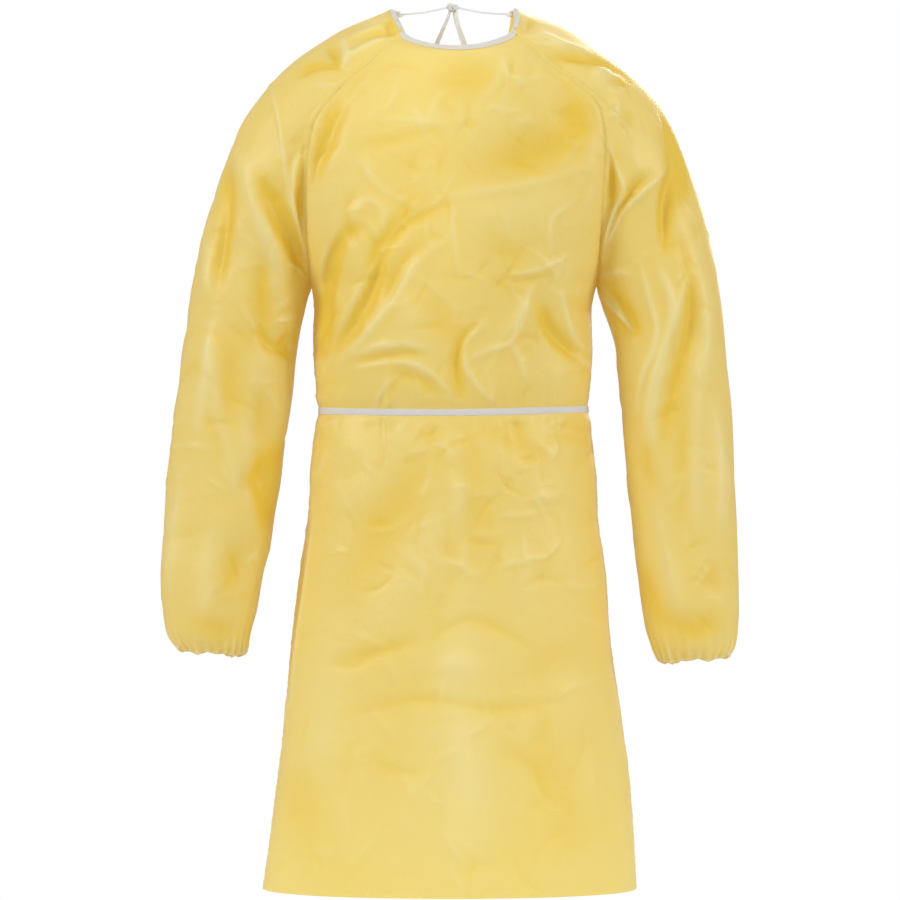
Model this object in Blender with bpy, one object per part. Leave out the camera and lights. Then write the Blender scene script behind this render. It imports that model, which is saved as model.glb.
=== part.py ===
"""Chemical protective gown in its worn, hollow shape, with nobody in it.

One object for each cut and sewn piece: a front panel, two back panels that
lap down the back, two raglan sleeves with gathered wrists, the folded tape
round the neck with its ties, and the tape belt with its knot and tails.

+Z is up, the front faces -Y, and left and right are as seen from the front.
The origin is between the shoulders, level with the base of the neck.
Tables and sizes are in millimetres.
"""

import bmesh
import bpy
import numpy as np

MM = 0.001

# cloth and tape
WALL = 1.5             # thickness of every cloth wall
SEAM_GAP = 0.3         # between two pieces at a seam
LAY_GAP = 0.45         # between a cloth and the tape that lies on it
TAPE_WIDTH = 9.0
TAPE_THICK = 1.0
SEAM_LIFT = 1.6        # times as far out where the neck tape crosses a seam

# how finely the pieces are divided
FRONT_COLUMNS = 26
BACK_COLUMNS = 11
SEAM_STEPS = 14        # along each raglan seam, armpit to neck
NECK_STEPS = 4         # along the part of the neck edge that a sleeve makes
GATHER_SPLIT = 3       # points in the gathered wrist for one in the sleeve
WRIST_GATHERS = 24

# heights of the rows below the armpits, hem to armpit
BELT_Z = -502.0
BELT_BOTTOM = BELT_Z - TAPE_WIDTH / 2
BELT_TOP = BELT_Z + TAPE_WIDTH / 2
SKIRT_LEVELS = [-1122, -1085, -1040, -990, -940, -890, -840, -790, -740, -690,
                -645, -602, -565, -540, -522, BELT_BOTTOM, BELT_TOP,
                -486, -470, -450, -430, -408, -385, -363]

# the body as rings: widths either side, depth in front and behind
BODY_NAMES = ("z", "left", "right", "front", "back")
BODY = [
    (-341, 182.5, 186.5, 127, 106),
    (-363, 180, 181.5, 126, 105),
    (-408, 181, 181, 124, 103),
    (-437, 180, 180.5, 122, 102),
    (-470, 177, 178, 119, 101),
    (-488, 175.5, 176.5, 114.5, 99),
    (BELT_Z, 173, 175, 109, 97),
    (-515, 176, 178, 112.5, 99.5),
    (-541, 180, 181, 119, 105),
    (-593, 184, 187, 124, 113),
    (-645, 188, 189, 127, 119),
    (-697, 196, 196, 130, 124),
    (-801, 209, 205, 137, 130),
    (-905, 218, 220, 143, 135),
    (-1009, 231, 232, 148, 139),
    (-1122, 245, 239, 153, 143),
]
BODY_ROUND = 0.80      # below 1 the ring is fuller than an ellipse

# the front above the armpits, by share of the way up the raglan seam
YOKE_NAMES = ("share", "middle", "drop", "round")
YOKE = [
    (0.0, -127, 0, 0.80),
    (0.2, -127, 0, 0.95),
    (0.4, -124, 0, 1.20),
    (0.6, -117, 0, 1.45),
    (0.8, -104, 4, 1.65),
    (0.92, -90, 13, 1.75),
    (1.0, -79, 20, 1.80),
]

# the back above the armpits: where its edge runs, and how high above the seam
UPPER_BACK_NAMES = ("share", "edge", "depth", "round", "lift")
UPPER_BACK = [
    (0.0, -1, 106, 0.80, 0),
    (0.2, -14, 110, 0.80, 0),
    (0.4, -29, 112.5, 0.80, 0),
    (0.6, -46, 110, 0.78, 0),
    (0.8, -62, 98, 0.72, 2),
    (0.92, -70, 78, 0.65, 3),
    (1.0, -71.5, 60, 0.60, 3),
]
RIGHT_EDGE_SCALE = 1.085   # the neck sits a little to the right

# the back edge below the armpits; the left panel laps over the right one
LAP_NAMES = ("z", "edge")
LAP = [(-341, -1), (-400, 9), (-460, 18), (BELT_Z, 22), (-600, 26), (-1122, 26)]
LAP_LIFT = 2.4         # the lapping panel stands off by this
LAP_START = -75        # and begins to, this far from the middle
LAP_FULL = -38
LAP_CLEAR = 42          # the belt comes down off the lapping edge by here

# raglan seams, armpit to neck
SEAM_FRONT_LEFT = [
    (-182.5, 0, -341), (-184, -29, -320), (-185.5, -48, -294), (-187, -65, -258),
    (-187, -76, -217), (-184, -82, -169), (-175, -83, -129), (-157, -81, -104),
    (-129, -76, -75), (-105, -69, -55), (-88, -61, -35), (-61, -46, -17),
]
SEAM_BACK_LEFT = [
    (-182.5, 0, -341), (-184, 29, -320), (-185.5, 48, -294), (-187, 65, -257),
    (-187, 76, -215), (-184, 82, -172), (-177, 83, -132), (-165, 79, -88),
    (-146, 71, -50), (-122, 60, -18), (-98, 47, 6), (-73, 32, 19),
]
SEAM_FRONT_RIGHT = [
    (186.5, 0, -341), (187.5, -29, -320), (189, -48, -293), (191, -66, -252),
    (193.5, -77, -211), (194.5, -82, -170), (193, -84, -138), (186, -83.5, -110),
    (168, -81, -91), (144, -76, -73), (118, -69, -53), (100, -60, -34),
    (76, -46, -14),
]
SEAM_BACK_RIGHT = [
    (186.5, 0, -341), (187.5, 29, -320), (189, 48, -293), (191, 65, -255),
    (194, 76, -213), (193, 82, -170), (187, 83, -130), (174, 79, -86),
    (154, 71, -48), (128, 60, -17), (103, 47, 6), (78, 32, 19.5),
]
# the neck edge of each sleeve, front seam to back seam
NECK_LEFT = [(-61, -46, -17), (-69, -20, 1), (-73.5, 4, 12.5), (-74.5, 19, 17), (-73, 32, 19)]
NECK_RIGHT = [(76, -46, -14), (80, -20, 1), (80.5, 4, 12), (79.5, 19, 17), (78, 32, 19.5)]

# sleeves from the neck to the wrist: the outer and the inner side of the arm,
# depth before and behind, and how far the arm has swung forwards
SLEEVE_NAMES = ("ring", "outer_x", "outer_z", "inner_x", "inner_z", "front", "back", "swing")
SLEEVE_LEFT = [
    (1, -97, 4, -183.8, -342.8, 86, 84, 0),
    (3, -150, -18, -185.2, -348.5, 86, 83, 0),
    (5, -208.7, -54, -188, -359, 84, 81, 0),
    (7, -266, -117, -192.5, -375, 80, 78, 0),
    (9, -305, -212, -199, -399, 75, 74, -1),
    (11, -336, -330, -204, -437, 70, 70, -3),
    (13, -357.5, -469, -210.6, -506, 66, 66, -6),
    (15, -372.5, -612, -227, -612, 61, 62, -10),
    (17, -377, -736, -249, -736, 57, 58, -14),
    (18, -373.5, -775, -257, -775, 53, 54, -16),
    (19, -367, -797, -263.5, -799, 46, 47, -17),
    (20, -355, -811, -271, -818, 33, 34, -18),
]
SLEEVE_RIGHT = [
    (1, 102, 4, 188, -342.8, 86, 84, 0),
    (3, 152, -14, 190, -348.5, 86, 83, 0),
    (5, 206, -48, 193, -358, 84, 81, 0),
    (7, 263, -99, 198, -375, 80, 78, 0),
    (9, 303.6, -177, 204.5, -393, 75, 74, -1),
    (11, 333.5, -274, 212.6, -422, 70, 70, -3),
    (13, 353, -400, 217, -469, 66, 66, -6),
    (15, 363.4, -543, 223, -547, 61, 62, -10),
    (17, 369.5, -700, 238.5, -700, 58, 58, -14),
    (18, 371, -775, 249, -775, 54, 55, -16),
    (19, 367, -806, 259, -808, 46, 47, -17),
    (20, 358, -820, 269, -827, 33, 34, -18),
]
SLEEVE_RINGS = 20
SHOULDER_RINGS = 10    # rings over which the raglan loop turns into an arm
GATHERED_RINGS = 2     # at the wrist
GATHER_DEPTH = 2.2
SLEEVE_ROUND = 0.90

# folds: three points of the line each follows, seen from the front, then
# its height along the cloth's normal (negative for a trough) and its breadth
FOLD_NAMES = ("x1", "z1", "x2", "z2", "x3", "z3", "height", "breadth")
FRONT_FOLDS = [
    (-12, -245, -95, -310, -138, -405, -9, 17),
    (-6, -228, -48, -252, -92, -280, 6, 15),
    (-108, -262, -156, -335, -164, -436, -7, 14),
    (-98, -232, -120, -243, -134, -257, 4, 13),
    (-92, -296, -62, -345, -40, -400, 4, 18),
    (-128, -112, -154, -155, -168, -232, -8, 15),
    (-118, -450, -64, -440, -4, -484, -4, 13),
    (32, -392, 8, -440, 15, -492, -6, 13),
    (100, -336, 72, -420, 22, -440, 5, 13),
    (112, -386, 142, -420, 170, -448, -6, 13),
    (160, -110, 148, -146, 136, -182, -5, 16),
    (148, -256, 120, -250, 98, -268, 3, 14),
    (80, -330, 96, -332, 116, -328, -4, 12),
    (-14, -512, -30, -534, -44, -556, -4, 13),
    (-8, -520, 4, -580, 10, -640, 4, 20),
    (78, -512, 86, -545, 80, -600, -4, 14),
    (100, -545, 112, -560, 124, -580, 4, 13),
    (-120, -520, -128, -640, -150, -800, -4, 26),
    (60, -660, 66, -800, 60, -960, -4, 34),
    (-70, -760, -76, -900, -84, -1040, 4, 36),
    (140, -600, 156, -760, 176, -940, 4, 28),
]
BACK_FOLDS = [
    (-150, -235, -105, -300, -60, -380, -7, 16),
    (-165, -330, -120, -385, -70, -425, 5, 15),
    (150, -245, 112, -310, 66, -372, -7, 16),
    (165, -345, 118, -392, 76, -430, 5, 15),
    (-95, -515, -104, -600, -120, -720, -5, 20),
    (92, -515, 100, -610, 112, -740, -5, 20),
    (-140, -560, -160, -760, -185, -980, 5, 30),
    (146, -580, 160, -760, 180, -960, 5, 30),
]
SLEEVE_FOLDS = [
    (-252, -228, -218, -280, -196, -310, -6, 14),
    (-222, -170, -212, -235, -205, -300, 4, 13),
    (-230, -385, -212, -392, -202, -402, -4, 12),
    (-330, -480, -300, -500, -262, -520, -3, 18),
    (268, -112, 290, -190, 282, -240, -7, 14),
    (217, -190, 214, -230, 201, -285, -5, 13),
    (196, -350, 214, -376, 236, -405, -6, 13),
    (242, -312, 262, -390, 240, -480, 6, 15),
    (276, -322, 302, -385, 270, -545, -6, 17),
    (284, -186, 240, -225, 212, -266, 4, 14),
]
SLEEVE_BACK_FOLDS = [
    (-250, -215, -225, -270, -205, -320, -6, 14),
    (-300, -330, -262, -372, -232, -392, -5, 15),
    (250, -215, 226, -270, 208, -320, -6, 14),
    (300, -340, 262, -380, 234, -400, -5, 15),
]
FOLD_FADE = 28.0       # folds die away this close to a seam

# neck ties: from the ends of the neck tape to the knot, then two free tails
NECK_KNOT_AT = (0.0, 90.0, 30.0)
NECK_KNOT_SIZE = (18.0, 11.0, 13.0)
NECK_TAIL_LEFT = [(-8, 91, 12), (-15, 92, -4), (-21.5, 93, -20),
                  (-24, 94, -45), (-25, 95, -75), (-24, 95, -105), (-22, 95, -135), (-21, 95, -162)]
NECK_TAIL_RIGHT = [(6, 91.5, 10), (11, 93, -5), (16, 94, -20),
                   (19, 95, -45), (20, 96, -75), (19, 96, -105), (17.5, 96, -135), (17, 96, -176)]
BELT_KNOT_SIZE = (17.0, 9.0, 15.0)
KNOT_SIDES = 10
KNOT_RINGS = 8
KNOT_FULLEST = 0.9     # the largest share of its half size that a knot reaches
BELT_RISE = 5.0        # the belt leaves the cloth at least this far beside the knot
KNOT_LEAN = 1.46       # where a knot's ends are cut off, as an angle from its middle
BELT_TAIL_DROP = (205.0, 188.0)
BELT_TAIL_SPREAD = (-22.0, 19.0)
BELT_TAIL_OFF = 4.0    # the tails hang this far off the skirt
TIE_GAP = 0.7          # from the neck tape's end to the tie
TIE_LEAD = 3.0         # the tie runs on straight from the neck tape for this
TIE_TURNED = 0.3       # and has turned edge-on after this share of its length
TIE_STEPS = 10
TAIL_STEPS = 17

# colours and finish
CLOTH_COLOUR = (0.86, 0.64, 0.19, 1.0)
TAPE_COLOUR = (0.86, 0.85, 0.83, 1.0)
CLOTH_ROUGHNESS = 0.42
TAPE_ROUGHNESS = 0.75
SMOOTH_ANGLE = 0.7


def clear_scene():
    for old in list(bpy.data.objects):
        bpy.data.objects.remove(old, do_unlink=True)


def unit(vectors):
    vectors = np.asarray(vectors, float)
    return vectors / np.maximum(np.linalg.norm(vectors, axis=-1, keepdims=True), 1e-12)


def smooth_through(at, known, values):
    """A smooth curve through known values, read at the places asked for."""
    known = np.asarray(known, float)
    values = np.asarray(values, float)
    order = np.argsort(known)
    known, values = known[order], values[order]
    slopes = np.gradient(values, known, axis=0)
    at = np.clip(np.asarray(at, float), known[0], known[-1])
    cell = np.clip(np.searchsorted(known, at) - 1, 0, len(known) - 2)
    span = known[cell + 1] - known[cell]
    t = (at - known[cell]) / span
    if values.ndim > 1:
        t, span = t[..., None], span[..., None]
    return ((2 * t**3 - 3 * t**2 + 1) * values[cell] + (t**3 - 2 * t**2 + t) * span * slopes[cell]
            + (3 * t**2 - 2 * t**3) * values[cell + 1] + (t**3 - t**2) * span * slopes[cell + 1])


def read_table(rows, names, at):
    """Every column of a table at one value of its first column, by name."""
    table = np.array(rows, float)
    return {name: float(smooth_through(at, table[:, 0], table[:, i]))
            for i, name in enumerate(names)}


def spaced_along(points, steps):
    """The smooth curve through points, as steps of equal length."""
    points = np.array(points, float)
    run = np.concatenate([[0], np.cumsum(np.linalg.norm(np.diff(points, axis=0), axis=1))])
    return smooth_through(np.linspace(0, run[-1], steps + 1), run, points)


def smooth_step(value):
    value = np.clip(value, 0, 1)
    return value * value * (3 - 2 * value)


class Piece:
    """A cut piece: the points of its outer side in rows, and its faces."""

    def __init__(self, name, rows, closed=False, flipped=False):
        self.name = name
        self.rows = [np.array(row, float) for row in rows]
        self.closed = closed
        self.flipped = flipped
        self.first = np.concatenate([[0], np.cumsum([len(row) for row in self.rows])])
        self.points = np.concatenate(self.rows)
        self.faces = self.outer_faces()
        self.shift = np.zeros_like(self.points)
        self.update_normals()

    def at(self, row, column):
        row = row % len(self.rows)
        return int(self.first[row] + column % len(self.rows[row]))

    def outer_faces(self):
        faces = []
        for row in range(len(self.rows) - 1):
            near, far = len(self.rows[row]), len(self.rows[row + 1])
            split = far // near
            for column in range(near if self.closed else near - 1):
                a, b = self.at(row, column), self.at(row, column + 1)
                if split == 1:
                    faces.append([a, b, self.at(row + 1, column + 1), self.at(row + 1, column)])
                    continue
                fan = [self.at(row + 1, column * split + i) for i in range(split + 1)]
                half = (split + 1) // 2
                for i in range(split):
                    faces.append([a if i < half else b, fan[i + 1], fan[i]])
                    if i == half - 1:
                        faces.append([a, b, fan[i + 1]])
        if self.flipped:
            faces = [face[::-1] for face in faces]
        return faces

    def update_normals(self):
        normals = np.zeros_like(self.points)
        for face in self.faces:
            corner = self.points[face]
            across = np.cross(corner[2] - corner[0], corner[-1] - corner[1])
            normals[face] += across if len(face) == 4 else np.cross(
                corner[1] - corner[0], corner[2] - corner[0])
        self.normals = unit(normals)

    def edge_loops(self):
        last = len(self.rows) - 1
        if self.closed:
            return [[self.at(0, c) for c in range(len(self.rows[0]))],
                    [self.at(last, c) for c in range(len(self.rows[last]))][::-1]]
        width = len(self.rows[0])
        loop = [self.at(0, c) for c in range(width)]
        loop += [self.at(r, width - 1) for r in range(1, last + 1)]
        loop += [self.at(last, c) for c in range(width - 2, -1, -1)]
        loop += [self.at(r, 0) for r in range(last - 1, 0, -1)]
        return [loop]

    def solid(self):
        """Vertices and faces of the wall: outer side, inner side and rims."""
        outer = self.points + self.shift
        inner = outer - self.normals * WALL
        count = len(outer)
        faces = [list(face) for face in self.faces]
        faces += [[count + i for i in face[::-1]] for face in self.faces]
        for loop in self.edge_loops():
            for a, b in zip(loop, loop[1:] + loop[:1]):
                rim = [b, a, count + a, count + b]
                faces.append(rim[::-1] if self.flipped else rim)
        return np.concatenate([outer, inner]), faces


def fold_height(x, z, folds):
    """Sum of the folds at places seen from the front."""
    height = np.zeros_like(x)
    for row in folds:
        fold = dict(zip(FOLD_NAMES, row))
        line = spaced_along([(fold["x1"], fold["z1"]), (fold["x2"], fold["z2"]),
                             (fold["x3"], fold["z3"])], 8)
        start, end = line[:-1], line[1:]
        run = end - start
        here = np.stack([x, z], axis=-1)[..., None, :]
        t = np.clip(((here - start) * run).sum(-1) / (run * run).sum(-1), 0, 1)
        away = np.linalg.norm(here - (start + t[..., None] * run), axis=-1)
        nearest = away.argmin(-1)
        distance = np.take_along_axis(away, nearest[..., None], -1)[..., 0]
        along = (nearest + np.take_along_axis(t, nearest[..., None], -1)[..., 0]) / len(run)
        ends = np.sin(np.pi * np.clip(0.08 + 0.84 * along, 0, 1)) ** 0.7
        height += fold["height"] * ends * np.exp(-(distance / fold["breadth"]) ** 2)
    return height


def press_folds(piece, folds, side):
    """Move a piece's points along its normals where folds run, edges kept."""
    edge = np.unique([i for loop in piece.edge_loops() for i in loop])
    gap = np.linalg.norm(piece.points[:, None] - piece.points[edge][None], axis=2).min(1)
    height = fold_height(piece.points[:, 0], piece.points[:, 2], folds)
    facing = smooth_step(side * piece.points[:, 1] / 30.0) if piece.closed else 1.0
    piece.points += piece.normals * (height * smooth_step(gap / FOLD_FADE) * facing)[:, None]
    piece.update_normals()


def below_edge(edge, next_in):
    """Where the tape's lower edge lies: a tape's width in from the neck edge."""
    step = next_in - edge
    length = np.linalg.norm(step, axis=-1, keepdims=True)
    return edge + step * np.minimum(TAPE_WIDTH / length, 0.5)


def with_tape_row(rows):
    """Rows that end at the neck edge, with one more under the tape's lower edge."""
    return [*rows[:-1], below_edge(np.asarray(rows[-1]), np.asarray(rows[-2])), rows[-1]]


def raglan_seam(points):
    """A raglan seam's points, armpit to neck."""
    return np.array(with_tape_row(list(spaced_along(points, SEAM_STEPS))))


FRONT_SEAM = {"left": raglan_seam(SEAM_FRONT_LEFT), "right": raglan_seam(SEAM_FRONT_RIGHT)}
BACK_SEAM = {"left": raglan_seam(SEAM_BACK_LEFT), "right": raglan_seam(SEAM_BACK_RIGHT)}
CORNER = SEAM_STEPS + 1    # number of the seam's point at the neck edge
YOKE_ROWS = [*enumerate(np.arange(SEAM_STEPS) / SEAM_STEPS), (CORNER, 1.0)]


def front_row(left, right, middle, drop, fullness):
    """One row of the front, from its left edge round to its right edge."""
    turn = np.linspace(0, np.pi, 4 * FRONT_COLUMNS + 1)
    share = (1 - np.cos(turn)) / 2
    bulge = np.sin(turn) ** fullness
    row = left + (right - left) * share[:, None]
    row[:, 1] += (middle - (left[1] + right[1]) / 2) * bulge
    row[:, 2] -= drop * np.sin(turn) ** 1.5
    row = spaced_along(row, FRONT_COLUMNS)
    row[0], row[-1] = left, right
    return row


def front_panel():
    rows = []
    for z in SKIRT_LEVELS:
        body = read_table(BODY, BODY_NAMES, z)
        rows.append(front_row(np.array([-body["left"], 0, z]), np.array([body["right"], 0, z]),
                              -body["front"], 0, BODY_ROUND))
    for step, share in YOKE_ROWS:
        yoke = read_table(YOKE, YOKE_NAMES, share)
        rows.append(front_row(FRONT_SEAM["left"][step], FRONT_SEAM["right"][step],
                              yoke["middle"], yoke["drop"], yoke["round"]))
    return Piece("front_panel", with_tape_row(rows))


def back_row(side, edge, edge_depth, edge_z, fullness, sign):
    """One row of a back panel, from its side edge to its back edge."""
    half = abs(side[0])
    last_turn = np.arccos(np.clip(-edge / half, -1, 1))
    turn = np.linspace(0, last_turn, 4 * BACK_COLUMNS + 1)
    across = sign * half * np.cos(turn)
    reach = (edge_depth - side[1]) / np.sin(last_turn) ** fullness
    depth = side[1] + reach * np.sin(turn) ** fullness
    height = side[2] + (edge_z - side[2]) * turn / last_turn
    row = spaced_along(np.stack([across, depth, height], axis=1), BACK_COLUMNS)
    row[0] = side
    return row


def back_panel(hand):
    sign = -1 if hand == "left" else 1
    rows = []
    for z in SKIRT_LEVELS:
        body = read_table(BODY, BODY_NAMES, z)
        edge = read_table(LAP, LAP_NAMES, z)["edge"]
        side = np.array([sign * body[hand], 0, z])
        rows.append(back_row(side, edge, body["back"], z, BODY_ROUND, sign))
    for step, share in YOKE_ROWS:
        upper = read_table(UPPER_BACK, UPPER_BACK_NAMES, share)
        side = BACK_SEAM[hand][step]
        edge = upper["edge"] * (RIGHT_EDGE_SCALE if hand == "right" else 1)
        rows.append(back_row(side, edge, upper["depth"], side[2] + upper["lift"],
                             upper["round"], sign))
    if hand == "left":
        for row in rows:
            row[:, 1] += LAP_LIFT * smooth_step((row[:, 0] - LAP_START) / (LAP_FULL - LAP_START))
        rows = [row[::-1] for row in rows]
    rows = with_tape_row(rows)
    return Piece("back_panel_" + hand, rows)


def armhole_loop(hand):
    """The raglan loop: armpit, up the front seam, along the neck, down the back."""
    neck = np.array(NECK_LEFT if hand == "left" else NECK_RIGHT, float)
    return np.concatenate([FRONT_SEAM[hand], neck[1:-1], BACK_SEAM[hand][:0:-1]])


def wrist_gathers(ring, turn, strength):
    """Pleat a ring with uneven gathers, pulled in towards its middle."""
    centre = ring.mean(axis=0)
    wave = (np.sin(WRIST_GATHERS * turn) * (1 + 0.35 * np.sin(3 * turn + 0.8))
            + 0.35 * np.sin(7 * turn + 2.0))
    outward = unit((ring - centre) * (1, 1, 0))
    return ring + outward * (GATHER_DEPTH * strength * wave)[:, None]


def sleeve_ring(ring, loop, table, sign, count):
    """One ring of a sleeve, from the raglan loop to a section of the arm."""
    size = read_table(table, SLEEVE_NAMES, ring)
    turn = 2 * np.pi * np.arange(count) / count
    inner = np.array([size["inner_x"], size["inner_z"]])
    outer = np.array([size["outer_x"], size["outer_z"]])
    reach = outer - inner
    forward = np.array([-reach[1], reach[0]]) * -sign / np.linalg.norm(reach)
    share = (1 - np.cos(turn)) / 2
    depth = np.where(turn < np.pi, -size["front"], size["back"])
    depth = depth * np.abs(np.sin(turn)) ** SLEEVE_ROUND + size["swing"]
    bow = np.zeros(count)
    blend = float(smooth_step(ring / SHOULDER_RINGS))
    if blend < 1:
        low = loop[0][[0, 2]]
        high = loop[CORNER + NECK_STEPS // 2][[0, 2]]
        first_reach = high - low
        span = np.linalg.norm(first_reach)
        first_forward = np.array([-first_reach[1], first_reach[0]]) * -sign / span
        away = loop[:, [0, 2]] - low
        share = (1 - blend) * (away @ first_reach) / span**2 + blend * share
        bow = (1 - blend) * (away @ first_forward)
        depth = (1 - blend) * loop[:, 1] + blend * depth
    flat = inner + share[:, None] * reach + bow[:, None] * forward
    return np.stack([flat[:, 0], depth, flat[:, 1]], axis=1), turn


def sleeve(hand):
    sign = 1 if hand == "left" else -1
    table = SLEEVE_LEFT if hand == "left" else SLEEVE_RIGHT
    loop = armhole_loop(hand)
    first_ring, _ = sleeve_ring(1, loop, table, -sign, len(loop))
    rows = [loop, below_edge(loop, first_ring)]
    for ring in range(1, SLEEVE_RINGS + 1):
        gathered = ring > SLEEVE_RINGS - GATHERED_RINGS
        count = len(loop) * (GATHER_SPLIT if gathered else 1)
        row, turn = sleeve_ring(ring, loop, table, -sign, count)
        if gathered:
            strength = (ring - SLEEVE_RINGS + GATHERED_RINGS) / GATHERED_RINGS
            row = wrist_gathers(row, turn, strength)
        rows.append(row)
    return Piece("sleeve_" + hand, rows, closed=True, flipped=hand == "right")


def share_normals(pieces):
    """Points that pieces have in common get one normal, body and sleeve evenly."""
    together = {}
    for piece in pieces:
        for i, point in enumerate(piece.points):
            together.setdefault(tuple(np.round(point, 3)), []).append((piece, i))
    for members in together.values():
        if len(members) < 2:
            continue
        body = [p.normals[i] for p, i in members if not p.closed]
        arm = [p.normals[i] for p, i in members if p.closed]
        parts = [unit(np.sum(group, axis=0)) for group in (body, arm) if group]
        common = unit(np.sum(parts, axis=0))
        for piece, i in members:
            piece.normals[i] = common


def inward(piece, numbers):
    """For each edge point, the way from it into its piece."""
    ways = {i: np.zeros(3) for i in numbers}
    for face in piece.faces:
        middle = piece.points[face].mean(axis=0)
        for i in face:
            if i in ways:
                ways[i] += middle - piece.points[i]
    return unit(np.array([ways[i] for i in numbers]))


def part_seam(piece_a, numbers_a, piece_b, numbers_b):
    """Open a seam by SEAM_GAP, half on each side of the sewing line."""
    line = piece_a.points[numbers_a]
    along = unit(np.gradient(line, axis=0))
    across = unit(np.cross(along, piece_a.normals[numbers_a]))
    lean = ((inward(piece_a, numbers_a) - inward(piece_b, numbers_b)) * across).sum()
    across *= np.sign(lean) * SEAM_GAP / 2
    piece_a.shift[numbers_a] += across
    piece_b.shift[numbers_b] -= across


def sew(front, backs, sleeves):
    share_normals([front, *backs.values(), *sleeves.values()])
    armpit = len(SKIRT_LEVELS)
    for hand in ("left", "right"):
        back, arm = backs[hand], sleeves[hand]
        front_column = 0 if hand == "left" else -1
        back_column = -1 if hand == "left" else 0
        low = range(armpit + 1)
        part_seam(front, [front.at(r, front_column) for r in low],
                  back, [back.at(r, back_column) for r in low])
        high = range(CORNER + 1)
        part_seam(front, [front.at(armpit + r, front_column) for r in high],
                  arm, [arm.at(0, r) for r in high])
        part_seam(back, [back.at(armpit + r, back_column) for r in high],
                  arm, [arm.at(0, -r) for r in high])


def sweep(stations, closed=False):
    """A solid through stations, each a ring of the same number of points."""
    stations = np.array(stations, float)
    count, sides = stations.shape[:2]
    faces = []
    for s in range(count if closed else count - 1):
        for k in range(sides):
            a, b = s * sides + k, s * sides + (k + 1) % sides
            c, d = (b + sides) % (count * sides), (a + sides) % (count * sides)
            faces.append([a, b, c, d])
    if not closed:
        faces.append(list(range(sides))[::-1])
        faces.append([(count - 1) * sides + k for k in range(sides)])
    return stations.reshape(-1, 3), faces


def edge_station(piece, column, rows):
    """A neck edge point, the point under the tape's lower edge, and both normals."""
    edge, low = (piece.at(row, column) for row in rows)
    return np.array([piece.points[edge], piece.points[low],
                     piece.normals[edge], piece.normals[low]])


def corner_station(first, second):
    """The station where two pieces' neck edges meet, lifted over the seam."""
    station = (first + second) / 2
    station[2:] = unit(station[2:]) * SEAM_LIFT
    return station


def neck_stations(front, backs, sleeves):
    """Stations along the neck edge, left back round the front to right back."""
    body, arm = (-1, -2), (0, 1)
    seam = CORNER + NECK_STEPS
    left, right = backs["left"], backs["right"]
    stations = [edge_station(left, c, body) for c in range(BACK_COLUMNS)]
    stations.append(corner_station(edge_station(left, BACK_COLUMNS, body),
                                   edge_station(sleeves["left"], seam, arm)))
    stations += [edge_station(sleeves["left"], c, arm) for c in range(seam - 1, CORNER, -1)]
    stations.append(corner_station(edge_station(sleeves["left"], CORNER, arm),
                                   edge_station(front, 0, body)))
    stations += [edge_station(front, c, body) for c in range(1, FRONT_COLUMNS)]
    stations.append(corner_station(edge_station(front, FRONT_COLUMNS, body),
                                   edge_station(sleeves["right"], CORNER, arm)))
    stations += [edge_station(sleeves["right"], c, arm) for c in range(CORNER + 1, seam)]
    stations.append(corner_station(edge_station(sleeves["right"], seam, arm),
                                   edge_station(right, 0, body)))
    stations += [edge_station(right, c, body) for c in range(1, BACK_COLUMNS + 1)]
    for end in (stations[0], stations[-1]):
        end[2:] = unit(end[2] + end[3])
    return stations


def neck_binding(front, backs, sleeves):
    """A tape folded over the neck edge, with a layer outside and one inside."""
    sections = []
    for top, low, normal, low_normal in neck_stations(front, backs, sleeves):
        up = unit(top - low)
        near, far = LAY_GAP, LAY_GAP + TAPE_THICK
        lift = np.linalg.norm(normal)
        near_in, far_in = WALL / lift + near, WALL / lift + far
        sections.append([
            low + low_normal * near,
            low + low_normal * far,
            top + up * far + normal * far,
            top + up * far - normal * far_in,
            low - low_normal * far_in,
            low - low_normal * near_in,
            top + up * near - normal * near_in,
            top + up * near + normal * near,
        ])
    return sweep(sections), np.array(sections)


def ribbon(path, width_ways, first_along=None):
    """A flat tape along a path; width_ways point across it."""
    path = np.array(path, float)
    along = unit(np.gradient(path, axis=0))
    if first_along is not None:
        along[0] = first_along
    ways = np.array(width_ways, float)
    ways = unit(ways - along * (ways * along).sum(1)[:, None])
    face = np.cross(along, ways)
    half, depth = ways * TAPE_WIDTH / 2, face * TAPE_THICK / 2
    return sweep(np.stack([path - half - depth, path + half - depth,
                           path + half + depth, path - half + depth], axis=1))


def knot_radius(lean):
    """A knot's radius as a share of its half size, with a waist at the middle."""
    return np.cos(lean) ** 0.8 * (1 - 0.12 * np.cos(3 * lean))


def knot(centre, size):
    """A pulled-tight knot: a rounded lump with a waist where the tape wraps it."""
    turn = 2 * np.pi * np.arange(KNOT_SIDES) / KNOT_SIDES
    stations = []
    for lean in np.linspace(-KNOT_LEAN, KNOT_LEAN, KNOT_RINGS):
        radius = knot_radius(lean)
        stations.append(np.stack([np.full(KNOT_SIDES, np.sin(lean)),
                                  np.cos(turn) * radius, np.sin(turn) * radius], axis=1))
    points, faces = sweep(stations)
    return points * np.array(size) / 2 + np.array(centre), faces


def under_knot(centre, size, beside):
    """The point just below a knot, this far to the side of its middle."""
    lean = np.arcsin(beside / (size[0] / 2))
    drop = size[2] / 2 * knot_radius(lean) * np.cos(np.pi / KNOT_SIDES)
    return np.array(centre) + (beside, 0, -drop - SEAM_GAP)


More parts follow.
